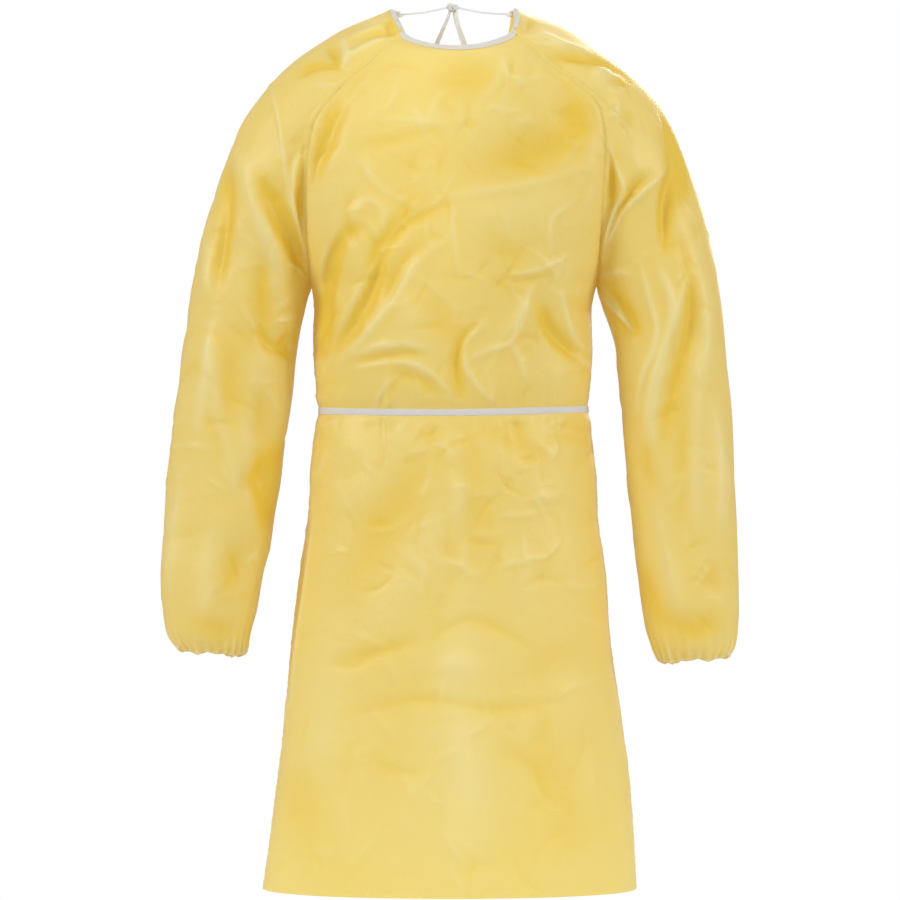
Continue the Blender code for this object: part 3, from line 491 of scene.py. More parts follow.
rows = []
for body in table_at(BODY, LEVELS):
    ends = np.array([(-body[LEFT], 0, body[0]), (body[RIGHT], 0, body[0])])
    rows.append(front_row(*ends, -body[FRONT], 0, BODY_ROUND))
for left, right, yoke in zip(*FRONT_SEAM.values(), table_at(YOKE, YOKE_SHARES)):
    rows.append(front_row(left, right, *yoke[1:]))
front = Cloth("gown_front", rows)
press_body(front, FRONT_FOLDS, seed=11, sewn=(True, True), gathers=1.5)
hang_belt(front, BELT_SAG)


# Back panels. Two pieces that meet down the back: the left one laps over the right one from
# the hem up to the armpits, and above that they part in a V up to the neck tapes.
UPPER_BACK = [   # share of the seam, where the edge runs, its depth, fullness, lift
    (0.0, -1, 106, 0.80, 0), (0.2, -14, 110, 0.80, 0), (0.4, -29, 112.5, 0.80, 0),
    (0.6, -46, 110, 0.78, 0), (0.8, -62, 98, 0.72, 2), (0.92, -70, 78, 0.65, 3),
    (1.0, -71.5, 60, 0.60, 3),
]
RIGHT_EDGE_SCALE = 1.085
LAP = [(ARMPIT_Z, -1), (-400, 9), (-460, 18), (BELT_Z, 22), (-600, 26), (HEM_Z, 26)]
LAP_LIFT = 2.4
LAP_START, LAP_FULL = -75.0, -38.0
LAP_LAID = 0.62              # share of the lift that its free edge gives up,
LAP_EDGE = 16                # and how far in from that edge it does
BACK_CELLS = 11 * STEP
BACK_FOLDS = [
    (-7, 16, 0, -150, -235, -105, -300, -60, -380),
    (5, 8, 0.6, -138, -222, -92, -286, -44, -362),
    (5, 12, 0.3, -165, -330, -120, -385, -70, -425),
    (-7, 16, 0, 150, -245, 112, -310, 66, -372),
    (5, 8, 0.6, 136, -232, 98, -296, 54, -356),
    (5, 12, 0.3, 165, -345, 118, -392, 76, -430),
    (4, 7, 0.6, -120, -150, -96, -205, -62, -262),
    (-4, 10, 0.1, 118, -128, 104, -196, 72, -258),
    (-4, 12, 0.1, -60, -430, -96, -452, -150, -462),
    (3.5, 8, 0.5, 46, -420, 90, -446, 146, -470),
    (-5, 20, 0, -95, -515, -104, -600, -120, -720),
    (-5, 20, 0, 92, -515, 100, -610, 112, -740),
    (4, 14, 0.2, -50, -515, -58, -590, -66, -660),
    (4, 14, 0.2, 56, -520, 64, -600, 60, -690),
    (5, 30, 0, -140, -560, -160, -760, -185, -980),
    (5, 30, 0, 146, -580, 160, -760, 180, -960),
    (-4, 28, 0, -80, -800, -92, -930, -96, -1080),
    (-4, 28, 0, 88, -780, 96, -920, 110, -1060),
]


def back_row(side, edge, edge_depth, edge_z, fullness, sign):
    """One row of a back panel, from its side edge to its back edge."""
    half = abs(side[0])
    last_turn = math.acos(min(1.0, max(-1.0, -edge / half)))
    turn = np.linspace(0, last_turn, FINE * BACK_CELLS + 1)
    reach = (edge_depth - side[1]) / math.sin(last_turn) ** fullness
    row = np.stack([sign * half * np.cos(turn), side[1] + reach * np.sin(turn) ** fullness,
                    side[2] + (edge_z - side[2]) * turn / last_turn], axis=1)
    row = spaced_along(row, BACK_CELLS)
    row[0] = side
    return row


backs = {}
for hand, sign in (("left", -1), ("right", 1)):
    rows = []
    for body, (_, edge) in zip(table_at(BODY, LEVELS), table_at(LAP, LEVELS)):
        side = np.array([sign * body[LEFT if hand == "left" else RIGHT], 0, body[0]])
        rows.append(back_row(side, edge, body[BACK], body[0], BODY_ROUND, sign))
    scale = RIGHT_EDGE_SCALE if hand == "right" else 1
    for side, upper in zip(BACK_SEAM[hand], table_at(UPPER_BACK, YOKE_SHARES)):
        _, edge, depth, fullness, rise = upper
        rows.append(back_row(side, edge * scale, depth, side[2] + rise, fullness, sign))
    if hand == "left":
        for row in rows:
            lift = LAP_LIFT * smooth_step((row[:, 0] - LAP_START) / (LAP_FULL - LAP_START))
            laid = smooth_step(1 - (row[-1, 0] - row[:, 0]) / LAP_EDGE)
            row[:, 1] += lift * (1 - LAP_LAID * laid)
        rows = [row[::-1] for row in rows]
    back = Cloth("gown_back_" + hand, rows)
    press_body(back, BACK_FOLDS, seed=31, sewn=(hand == "right", hand == "left"), gathers=1.3)
    hang_belt(back, 0)
    backs[hand] = back


# Sleeves. Raglan sleeves that run from the neck over the shoulder and hang loosely down the
# arm to a wrist that elastic gathers. One seam closes each under the arm.
# ring, outer x, outer z, inner x, inner z, depth before, depth behind, swing forwards
SLEEVE_LEFT = [
    (0, -73.5, 12.5, -182.5, -341, 86, 84, 0), (1, -97, 4, -183.8, -342.8, 86, 84, 0),
    (3, -150, -18, -185.2, -348.5, 86, 83, 0), (5, -208.7, -54, -188, -359, 84, 81, 0),
    (7, -266, -117, -192.5, -375, 80, 78, 0), (9, -305, -212, -199, -399, 75, 74, -1),
    (11, -336, -330, -204, -437, 70, 70, -3), (13, -357.5, -469, -210.6, -506, 66, 66, -6),
    (15, -372.5, -612, -227, -612, 61, 62, -10), (17, -377, -736, -249, -736, 57, 58, -14),
    (18, -373.5, -775, -257, -775, 53, 54, -16), (19, -367, -797, -263.5, -799, 46, 47, -17),
    (20, -355, -811, -271, -818, 33, 34, -18),
]
SLEEVE_RIGHT = [
    (0, 80.5, 12, 186.5, -341, 86, 84, 0), (1, 102, 4, 188, -342.8, 86, 84, 0),
    (3, 152, -14, 190, -348.5, 86, 83, 0), (5, 206, -48, 193, -358, 84, 81, 0),
    (7, 263, -99, 198, -375, 80, 78, 0), (9, 303.6, -177, 204.5, -393, 75, 74, -1),
    (11, 333.5, -274, 212.6, -422, 70, 70, -3), (13, 353, -400, 217, -469, 66, 66, -6),
    (15, 363.4, -543, 223, -547, 61, 62, -10), (17, 369.5, -700, 238.5, -700, 58, 58, -14),
    (18, 371, -775, 249, -775, 54, 55, -16), (19, 367, -806, 259, -808, 46, 47, -17),
    (20, 358, -820, 269, -827, 33, 34, -18),
]
SHOULDER_RINGS = 10
SLEEVE_ROUND = 0.90
SLEEVE_ROWS = 272
WRIST_GATHERS = 24
LAST_RING = 20
GATHER_DEPTH = 2.7
ROLL_RADIUS = 2.2            # the wrist's edge rolls in over its elastic
ROLL_TURNS = (0.6, 1.2, 1.9, 2.6, 3.1)
WRIST_FADE = 40.0
SIDE_FADE = 30.0             # from the folds in front to those behind
FRONT_FOLD_SCALE = 1.25
SLEEVE_SWELL = (1.3, 60, 220)
SLEEVE_FOLDS = {"left": [
    (-5, 6, 0.3, -80, 12, -83, -1, -75, -16),
    (3.5, 5, 0.7, -80, 14, -99, 4, -119, -4),
    (4, 6, 0.6, -73, -18, -105, -25, -129, -40, -145, -56),
    (-3, 6, 0.3, -80, -12, -105, -13, -125, -22),
    (3, 5, 0.6, -88, 1, -110, -9, -131, -16),
    (-5, 6, 0.6, -202, -69, -179, -56, -145, -57),
    (-4, 6, 0.4, -164, -27, -153, -42, -148, -57),
    (4, 7, 0.4, -144, -18, -138, -39, -138, -55),
    (3, 4, 0.9, -236, -81, -226, -121, -219, -177, -214, -224),
    (-10, 13, 0, -255, -200, -229, -247, -207, -283, -188, -325),
    (5, 6, 0.7, -215, -222, -200, -263, -184, -322),
    (5, 13, 0.2, -276, -170, -250, -244, -232, -309, -224, -359),
    (-6, 10, 0.1, -293, -177, -292, -229, -300, -294, -307, -346),
    (3, 8, 0.2, -318, -274, -320, -317, -319, -359),
    (-4, 13, 0.1, -242, -291, -248, -359, -245, -411),
    (3, 5, 0.7, -214, -312, -201, -317, -188, -330),
    (-7, 8, 0, -180, -140, -188, -183, -196, -229, -188, -281),
    (4, 5, 0.7, -196, -156, -209, -216, -202, -261),
    (3, 5, 0.6, -231, -387, -215, -384, -201, -377),
    (-4, 6, 0.3, -211, -400, -220, -417, -210, -437),
    (3, 10, 0.3, -310, -385, -323, -463, -333, -541),
    (-3, 14, 0.1, -281, -398, -294, -489, -300, -580),
    (3, 12, 0.2, -248, -424, -263, -502, -268, -593),
    (-4, 14, 0.1, -220, -541, -248, -588, -276, -606),
    (3, 10, 0.2, -354, -580, -365, -671, -367, -749),
    (2.5, 14, 0.1, -309, -645, -322, -723, -328, -788),
    (-2.5, 14, 0.1, -276, -671, -284, -710, -292, -749),
    (-5, 12, 0, -252, -560, -246, -606, -242, -665),
    (-3.5, 16, 0, -263, -463, -250, -550),
    (3.5, 12, 0.2, -322, -398, -296, -541, -276, -619),
    (-3, 14, 0, -345, -772, -310, -788, -278, -795),
    (-4, 9, 0.2, -258, -395, -235, -420, -214, -430),
], "right": [
    (-4, 6, 0.3, 93, 14, 101, 5, 97, -8),
    (4, 6, 0.5, 90, -20, 120, -16, 141, -26, 166, -34, 188, -46),
    (3, 5, 0.6, 93, -26, 124, -27, 150, -36),
    (-6, 7, 0.4, 129, -43, 179, -47, 211, -56, 236, -74),
    (4, 16, 0.1, 181, -60, 194, -64, 207, -68),
    (-2.5, 7, 0.3, 206, -75, 222, -78, 235, -73),
    (2, 6, 0.5, 200, -84, 215, -86, 232, -85),
    (2.5, 5, 0.7, 205, -99, 216, -105, 213, -117, 200, -123),
    (-2, 7, 0.3, 222, -107, 228, -121, 217, -138),
    (3, 5, 0.6, 179, -101, 190, -109, 197, -121),
    (5, 5, 0.8, 201, -152, 216, -194, 223, -216, 209, -243, 196, -291, 189, -328),
    (5, 5, 0.8, 278, -191, 245, -221, 219, -247, 202, -283),
    (-5, 8, 0.1, 254, -196, 228, -224, 207, -263),
    (-5, 8, 0.1, 207, -164, 206, -203, 198, -248),
    (-10, 9, 0.2, 271, -112, 284, -155, 289, -190, 280, -224, 276, -294),
    (5, 4, 0.8, 281, -157, 287, -177, 285, -195),
    (3, 5, 0.6, 192, -326, 210, -322, 233, -328),
    (4, 5, 0.8, 193, -337, 210, -361, 233, -400),
    (4, 6, 0.6, 244, -309, 257, -359, 266, -398, 263, -419, 248, -458, 239, -504),
    (4, 7, 0.4, 270, -317, 284, -359, 287, -398),
    (-5, 9, 0.2, 296, -281, 309, -346, 309, -391, 292, -458, 272, -554),
    (3, 9, 0.3, 322, -307, 332, -385, 330, -463),
    (3, 10, 0.3, 275, -424, 259, -515, 263, -593),
    (-3, 12, 0.2, 309, -463, 301, -554, 296, -645),
    (3, 9, 0.3, 343, -489, 350, -580, 348, -671),
    (2.5, 14, 0.2, 263, -619, 280, -697, 296, -762),
    (-3, 12, 0.1, 244, -697, 259, -749, 275, -788),
    (-2.5, 14, 0.1, 328, -697, 337, -723, 341, -749),
    (-7, 11, 0.1, 292, -140, 300, -185, 297, -240),
    (-6, 11, 0.1, 205, -346, 228, -385, 240, -411),
    (4.5, 5, 0.9, 193, -347, 207, -365, 222, -384, 234, -400),
    (-3, 12, 0, 250, -541, 258, -610),
    (3.5, 9, 0.4, 318, -300, 283, -398, 262, -470, 250, -541),
    (-3.5, 16, 0, 272, -772, 315, -788, 352, -772),
    (3, 12, 0.2, 322, -420, 312, -540, 318, -660),
]}
SLEEVE_BACK_FOLDS = {"left": [
    (-6, 14, 0, -250, -215, -225, -270, -205, -320),
    (4, 7, 0.6, -262, -205, -240, -262, -216, -308),
    (-5, 15, 0.1, -300, -330, -262, -372, -232, -392),
    (4, 10, 0.4, -318, -300, -290, -350, -240, -366),
    (-4, 12, 0.1, -330, -480, -290, -505, -240, -500),
    (3, 12, 0.3, -340, -560, -320, -640, -300, -700),
], "right": [
    (-6, 14, 0, 250, -215, 226, -270, 208, -320),
    (4, 7, 0.6, 264, -208, 238, -258, 222, -306),
    (-5, 15, 0.1, 300, -340, 262, -380, 234, -400),
    (4, 10, 0.4, 316, -306, 284, -350, 246, -376),
    (-4, 12, 0.1, 330, -500, 292, -520, 246, -516),
    (3, 12, 0.3, 338, -580, 318, -650, 296, -720),
]}
SLEEVE_CRUMPLES = {
    "left": (150, (-420, -800, -140, -60), 1.7, 60),
    "right": (150, (140, -800, 420, -60), 1.7, 60),
}


def seam_in_cells(points):
    """A raglan seam at the CAD's spacing: its last step is the neck tape's width."""
    run = run_along(points)
    steps = SEAM_CELLS // STEP
    knots = [*np.linspace(0, run[-1] * (steps - 2) / (steps - 1), steps - 1),
             run[-1] - TAPE_WIDTH, run[-1]]
    at = np.interp(np.arange(SEAM_CELLS + 1) / STEP, np.arange(steps + 1), knots)
    return smooth_through(at, run, points)


def armhole(hand):
    """The raglan loop: armpit, up the front seam, along the neck, down the back."""
    neck = spaced_along(NECK_LEFT if hand == "left" else NECK_RIGHT, NECK_CELLS)
    return np.concatenate([seam_in_cells(FRONT_SEAM[hand]), neck[1:-1],
                           seam_in_cells(BACK_SEAM[hand])[:0:-1]])


def sleeve_ring(size, loop, sign):
    """One ring of a sleeve, from the raglan loop to a section of the arm."""
    ring, outer_x, outer_z, inner_x, inner_z, before, behind, swing = size
    turn = 2 * math.pi * np.arange(len(loop)) / len(loop)
    inner = np.array([inner_x, inner_z])
    reach = np.array([outer_x, outer_z]) - inner
    forward = np.array([-reach[1], reach[0]]) * sign / np.linalg.norm(reach)
    share = (1 - np.cos(turn)) / 2
    depth = np.where(turn < math.pi, -before, behind) * np.abs(np.sin(turn)) ** SLEEVE_ROUND + swing
    bow = np.zeros(len(loop))
    blend = float(smooth_step(ring / SHOULDER_RINGS))
    if blend < 1:
        low, high = loop[0][[0, 2]], loop[len(loop) // 2][[0, 2]]
        first_reach = high - low
        span = np.linalg.norm(first_reach)
        first_forward = np.array([-first_reach[1], first_reach[0]]) * sign / span
        away = loop[:, [0, 2]] - low
        share = (1 - blend) * (away @ first_reach) / span**2 + blend * share
        bow = (1 - blend) * (away @ first_forward)
        depth = (1 - blend) * loop[:, 1] + blend * depth
    flat = inner + share[:, None] * reach + bow[:, None] * forward
    return np.stack([flat[:, 0], depth, flat[:, 1]], axis=1)


def gather_wrist(cloth):
    """Pleats that the elastic pulls into the wrist, and its edge rolled in over the elastic."""
    columns = cloth.points.shape[1]
    turn = 2 * math.pi * np.arange(columns) / columns
    wave = (np.sin(WRIST_GATHERS * turn) * (1 + 0.35 * np.sin(3 * turn + 0.8))
            + 0.35 * np.sin(7 * turn + 2.0)) * (0.7 + 0.4 * np.sin(2 * turn + 1.1))
    to_edge = cloth.to_last_row()
    strength = np.exp(-(to_edge / 17.0) ** 2) + 0.22 * np.exp(-(to_edge / 52.0) ** 2)
    centre = cloth.points.mean(axis=1, keepdims=True)
    outward = unit((cloth.points - centre) * (1, 1, 0))
    cloth.points += outward * (GATHER_DEPTH * strength * wave)[..., None]
    uneven = 1.6 * np.sin(5 * turn + 0.7) + 1.1 * np.sin(11 * turn + 2.1) + 0.9 * wave
    cloth.points[..., 2] += uneven * np.exp(-(to_edge / 14.0) ** 2)
    # The pleats' crests get a painted highlight and their troughs painted shade.
    cloth.painted_fold_shading += 3.0 * wave * strength
    last, centre = cloth.points[-1], cloth.points[-1].mean(axis=0)
    outward = unit((last - centre) * (1, 1, 0))
    roll = [last + outward * ROLL_RADIUS * (math.cos(a) - 1) + (0, 0, -ROLL_RADIUS * math.sin(a))
            for a in ROLL_TURNS]
    roll.append(roll[-1] - outward * 1.2 + (0, 0, 9.0))
    cloth.points = np.concatenate([cloth.points, np.array(roll)])
    cloth.up, cloth.across = (np.concatenate([run, np.repeat(run[-1:], len(roll), axis=0)])
                              for run in (cloth.up, cloth.across))
    cloth.painted_fold_shading = np.concatenate([cloth.painted_fold_shading, np.zeros((len(roll), columns))])


sleeves = {}
for hand, table, sign, seed in (("left", SLEEVE_LEFT, 1, 71), ("right", SLEEVE_RIGHT, -1, 91)):
    loop = armhole(hand)
    fine = table_at(table, np.linspace(0, LAST_RING, 20 * LAST_RING + 1))
    run = run_along(fine[:, 1:3])
    rings = np.interp(np.linspace(0, run[-1], SLEEVE_ROWS), run, fine[:, 0])
    rows = [sleeve_ring(size, loop, sign) for size in table_at(table, rings)]
    rows[0] = loop
    cloth = Cloth("gown_sleeve_" + hand, rows, closed=True, turned=hand == "right")
    x, z = as_seen(cloth.points)
    y = cloth.points[..., 1]
    relief = fold_relief(x, z, SLEEVE_FOLDS[hand]) * smooth_step(-y / SIDE_FADE) * FRONT_FOLD_SCALE
    relief += fold_relief(x, z, SLEEVE_BACK_FOLDS[hand]) * smooth_step(y / SIDE_FADE)
    relief += crumples(x + y, z, seed, *SLEEVE_CRUMPLES[hand])
    swell = undulation(cloth.points, seed + 1, *SLEEVE_SWELL)
    fade = smooth_step(cloth.up / SEAM_FADE) * smooth_step(cloth.to_last_row() / WRIST_FADE)
    # The folds' painted highlight and painted shade fade out with their heights.
    height, painted_light = relief * fade
    height = height + swell * fade
    from_neck = np.abs(np.arange(len(loop)) - len(loop) / 2) - NECK_CELLS / 2
    pucker = seam_pucker(cloth.up, run_along(loop)[None, :], seed + 2)
    cloth.press(height + pucker * smooth_step(from_neck[None, :] / 4), painted_light)
    gather_wrist(cloth)
    sleeves[hand] = cloth


# The cloth's finish: a pale yellow spunbond nonwoven with a thin plastic coat, which gives it
# a soft sheen. Fine fibres and a grid of weld points show close up. The base colour is painted
# deeper in the folds' troughs as painted shade and paler on their crests as painted highlight.
class Value:
    """A shader socket that takes part in Python sums, each adding its Math node."""

    def __init__(self, shader, socket):
        self.shader = shader
        self.socket = socket

    def math(self, operation, *others, swapped=False):
        values = (*others, self) if swapped else (self, *others)
        node = self.shader.node("ShaderNodeMath", {"operation": operation}, dict(enumerate(values)))
        return Value(self.shader, node.outputs[0])

    __add__ = partialmethod(math, "ADD")
    __radd__ = partialmethod(math, "ADD", swapped=True)
    __sub__ = partialmethod(math, "SUBTRACT")
    __rsub__ = partialmethod(math, "SUBTRACT", swapped=True)
    __mul__ = partialmethod(math, "MULTIPLY")
    larger = partialmethod(math, "MAXIMUM")
    smaller = partialmethod(math, "MINIMUM")
    sine = partialmethod(math, "SINE")


class Finish:
    """A material under construction, with one method for any node."""

    def __init__(self, name, **fixed):
        self.material = bpy.data.materials.new(name)
        self.material.use_nodes = True
        self.tree = self.material.node_tree
        self.shader = self.tree.nodes["Principled BSDF"]
        for socket, value in fixed.items():
            self.shader.inputs[socket.replace("_", " ")].default_value = value

    def node(self, kind, settings=None, sockets=None):
        node = self.tree.nodes.new(kind)
        for name, value in (settings or {}).items():
            setattr(node, name, value)
        for name, value in (sockets or {}).items():
            self.feed(node.inputs[name], value)
        return node

    def feed(self, socket, value):
        if isinstance(value, Value):
            self.tree.links.new(value.socket, socket)
        elif isinstance(value, bpy.types.NodeSocket):
            self.tree.links.new(value, socket)
        else:
            socket.default_value = value

    def value(self, node, output=0):
        return Value(self, node.outputs[output])

    def noise(self, where, scale, detail=2.0, roughness=0.5):
        return self.value(self.node("ShaderNodeTexNoise", {}, {
            "Vector": where, "Scale": scale, "Detail": detail, "Roughness": roughness}))

    def mix(self, factor, first, second):
        node = self.node("ShaderNodeMix", {"data_type": "RGBA"},
                         {"Factor": factor, 6: first, 7: second})
        return node.outputs[2]

    def let_light_through(self, colour, share):
        """Thin cloth passes this share of the light on to its other side."""
        through = self.node("ShaderNodeBsdfTranslucent", {}, {"Color": colour})
        both = self.node("ShaderNodeMixShader", {}, {0: share, 1: self.shader.outputs[0],
                                                     2: through.outputs[0]})
        self.feed(self.tree.nodes["Material Output"].inputs[0], both.outputs[0])

    def bump(self, height, distance, strength=1.0, under=None):
        sockets = {"Height": height, "Distance": distance, "Strength": strength}
        if under is not None:
            sockets["Normal"] = under
        return self.node("ShaderNodeBump", {}, sockets).outputs[0]


# The base colour runs from CLOTH_PALE, the painted highlight on fold crests, to CLOTH_DEEP, the
# painted shade in troughs, with random cloud and fibre tone besides.
CLOTH_PALE = (0.878, 0.808, 0.362, 1)
CLOTH_DEEP = (0.838, 0.615, 0.072, 1)
CLOTH_GLOW = (0.95, 0.71, 0.16, 1)
CLOTH_ROUGH = 0.46
WELD_PITCH = 1.3 * MM


def cloth_finish():
    finish = Finish("gown_cloth", Roughness=CLOTH_ROUGH, Sheen_Weight=0.12, Sheen_Roughness=0.5,
                    Coat_Weight=0.16, Coat_Roughness=0.34, IOR=1.45)
    place = finish.node("ShaderNodeTexCoord").outputs["Object"]
    on_cloth = finish.node("ShaderNodeUVMap", {"uv_map": "cloth"}).outputs[0]
    painted_fold_shading = finish.value(finish.node("ShaderNodeAttribute", {"attribute_name": "painted_fold_shading"}), 2)
    cloud = finish.noise(place, 9.0, 3.0, 0.55)
    fibres = finish.noise(on_cloth, 1400.0, 3.0, 0.65)
    # Painted shade in troughs and painted highlight on crests from the fold shading, plus random
    # cloud and fibre tone.
    deep = painted_fold_shading * -0.12 + 0.50 + (cloud - 0.5) * 0.35 + (fibres - 0.5) * 0.12
    deep = deep.larger(0.0).smaller(1.0)
    finish.feed(finish.shader.inputs["Base Color"], finish.mix(deep, CLOTH_PALE, CLOTH_DEEP))
    finish.feed(finish.shader.inputs["Roughness"], CLOTH_ROUGH + (fibres - 0.5) * 0.10
                + (cloud - 0.5) * 0.08)
    welds = finish.value(finish.node("ShaderNodeTexVoronoi", {"feature": "F1"}, {
        "Vector": on_cloth, "Scale": 1 / WELD_PITCH, "Randomness": 0.15}))
    dents = 1.0 - (welds * 3.2).smaller(1.0)
    ridges = finish.noise(place, 26.0, 4.0, 0.55) - 0.5
    ridges = ridges.larger(ridges * -1.0)
    relief = finish.bump(ridges * -1.0 * (cloud * 2.0).smaller(1.0), 6.0 * MM, 0.42)
    relief = finish.bump(finish.noise(place, 130.0, 4.0, 0.6), 0.6 * MM, 0.35, relief)
    relief = finish.bump(fibres, 0.10 * MM, 0.5, relief)
    relief = finish.bump(dents * -1.0, 0.06 * MM, 0.5, relief)
    finish.feed(finish.shader.inputs["Normal"], relief)
    finish.let_light_through(CLOTH_GLOW, 0.28)
    return finish.material


CLOTH = cloth_finish()


def stand_in(piece, node):
    """The piece rides on the gown's one body in place of a CAD solid."""
    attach(piece, "root")
    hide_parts(node)


panels = {cloth.name: cloth.make(CLOTH) for cloth in (
    front, backs["left"], sleeves["left"], backs["right"], sleeves["right"])}
for name, node, width, length, area in (
        ("gown_front", "front_panel", 0.64, 1.12, 0.56),
        ("gown_back_left", "back_panel_left", 0.36, 1.14, 0.29),
        ("gown_back_right", "back_panel_right", 0.36, 1.14, 0.29),
        ("gown_sleeve_left", "sleeve_left", 0.52, 0.88, 0.32),
        ("gown_sleeve_right", "sleeve_right", 0.52, 0.88, 0.32)):
    stand_in(panels[name], node)


# Neck tape. A white woven tape folded over the raw neck edge of all five panels and run down
# with one line of lockstitch near its lower edge. Its ends go on as the neck ties.
TAPE_WHITE = (0.945, 0.96, 0.985, 1)
TAPE_ROUGH = 0.78
TAPE_THICK = 1.0
TAPE_RIB = 1.05 * MM         # between the tape's lengthwise ribs
TAPE_PICK = 0.7 * MM         # and between its crosswise threads
TAPE_LIE = 0.35              # the tape lies this far off the cloth
NECK_SECTION = [   # distance in from the neck edge, height off the cloth
    (9.0, 0.15), (9.2, 0.6), (8.8, 1.0), (8.0, 1.12), (7.2, 0.9), (6.4, 1.12), (4.8, 1.2),
    (3.2, 1.25), (1.6, 1.3), (0.4, 1.25), (-0.5, 0.85), (-0.9, 0.0), (-0.5, -0.85), (0.4, -1.3),
    (3.2, -1.3), (6.2, -1.2), (7.2, -1.0), (8.6, -1.1), (9.2, -0.7), (9.0, -0.2),
]
EDGE_ROWS = 40               # rows of cloth looked at from the neck edge
FACING_ROUNDS, PLACE_ROUNDS = 12, 14


def tape_finish():
    finish = Finish("gown_tape", Roughness=TAPE_ROUGH, Sheen_Weight=0.25, Sheen_Roughness=0.4)
    along = finish.node("ShaderNodeUVMap", {"uv_map": "tape"}).outputs[0]
    split = finish.node("ShaderNodeSeparateXYZ", {}, {0: along})
    run, across = finish.value(split, 0), finish.value(split, 1)
    ribs = (across * (2 * math.pi / TAPE_RIB)).sine()
    picks = (run * (2 * math.pi / TAPE_PICK)).sine()
    fuzz = finish.noise(along, 2500.0, 3.0, 0.7)
    grime = finish.noise(along, 60.0, 3.0, 0.5)
    # Base colour: random grime and fuzz, and painted shade in the grooves between the ribs.
    grime_and_rib_shade = (grime - 0.5) * 0.4 + 0.2 - ribs * 0.18 + (fuzz - 0.5) * 0.3
    grime_and_rib_shade = grime_and_rib_shade.larger(0.0).smaller(1.0)
    finish.feed(finish.shader.inputs["Base Color"],
                finish.mix(grime_and_rib_shade, TAPE_WHITE, (0.83, 0.845, 0.87, 1)))
    finish.feed(finish.shader.inputs["Roughness"], TAPE_ROUGH + (fuzz - 0.5) * 0.12)
    relief = finish.bump(ribs * 0.8 + picks * 0.35 + fuzz * 0.5, 0.16 * MM, 0.8)
    finish.feed(finish.shader.inputs["Normal"], relief)
    finish.let_light_through((0.95, 0.96, 0.98, 1), 0.40)
    return finish.material


TAPE = tape_finish()


def swept(name, sections, material, closed_section=True, ends=False):
    """An object through sections of points in mm, with a UV map "tape" along it."""
    sections = np.array(sections, float)
    count, sides = sections.shape[:2]
    index = np.arange(count * sides).reshape(count, sides)
    round_it = sections
    if closed_section:
        index, round_it = closed_up(index), closed_up(sections)
    run = run_along(sections.mean(axis=1))
    girth = np.linalg.norm(np.diff(round_it, axis=1), axis=2).cumsum(1).mean(0)
    grid = np.stack(np.meshgrid(run, [0, *girth], indexing="ij"), axis=2) * MM
    faces = corners_of(index).tolist()
    uv = corners_of(grid).reshape(-1, 2)
    if ends:
        faces += [index[0, :sides][::-1].tolist(), index[-1, :sides].tolist()]
        uv = np.concatenate([uv, grid[0, :sides][::-1], grid[-1, :sides]])
    thing = smooth_thing(name, sections, faces, material, "tape", uv)
    body = bmesh.new()
    body.from_mesh(thing.data)
    bmesh.ops.recalc_face_normals(body, faces=body.faces[:])
    if ends and body.calc_volume(signed=True) < 0:
        bmesh.ops.reverse_faces(body, faces=body.faces[:])
    body.to_mesh(thing.data)
    body.free()
    return thing


def edge_line(cloth, column, depths, from_first):
    """Points and normals down a column of cloth at these distances from its neck edge."""
    near = slice(0, EDGE_ROWS) if from_first else slice(None, -EDGE_ROWS - 1, -1)
    points = cloth.points[near, column]
    run = run_along(points)
    inside = np.clip(depths, 0, None)
    place, facing = (np.stack([np.interp(inside, run, values[:, i]) for i in range(3)], axis=1)
                     for values in (points, cloth.edge_normals[near, column]))
    out_of_edge = unit(points[0] - points[3])
    return place + out_of_edge * np.clip(-depths, 0, None)[:, None], unit(facing)


def neck_sections():
    """Sections of the neck tape, from the left back round the front to the right back."""
    depths, heights = np.array(NECK_SECTION).T
    on_back, neck_end = range(BACK_CELLS + 1), SEAM_CELLS + NECK_CELLS
    places, facings = [], []
    for cloth, columns, from_first in (
            (backs["left"], on_back, False),
            (sleeves["left"], range(neck_end, SEAM_CELLS - 1, -1), True),
            (front, range(FRONT_CELLS + 1), False),
            (sleeves["right"], range(SEAM_CELLS, neck_end + 1), True),
            (backs["right"], on_back, False)):
        cloth.edge_normals = cloth.normals()
        lines = [edge_line(cloth, column, depths, from_first) for column in columns]
        if places:
            joint = lines.pop(0)
            places[-1] = (places[-1] + joint[0]) / 2
            facings[-1] = unit(facings[-1] + joint[1])
        places += [line[0] for line in lines]
        facings += [line[1] for line in lines]
    places, facings = np.array(places), np.array(facings)
    for _ in range(FACING_ROUNDS):
        facings[1:-1] = unit(facings[:-2] + 2 * facings[1:-1] + facings[2:])
    ease = np.clip(depths / TAPE_WIDTH, 0.25, 1)[None, :, None]
    for _ in range(PLACE_ROUNDS):
        eased = (places[:-2] + 2 * places[1:-1] + places[2:]) / 4
        places[1:-1] += (eased - places[1:-1]) * ease
    return places + facings * heights[None, :, None], facings


neck, neck_facing = neck_sections()
neck_tape = swept("neck_tape", neck, TAPE, closed_section=False)
stand_in(neck_tape, "neck_binding")


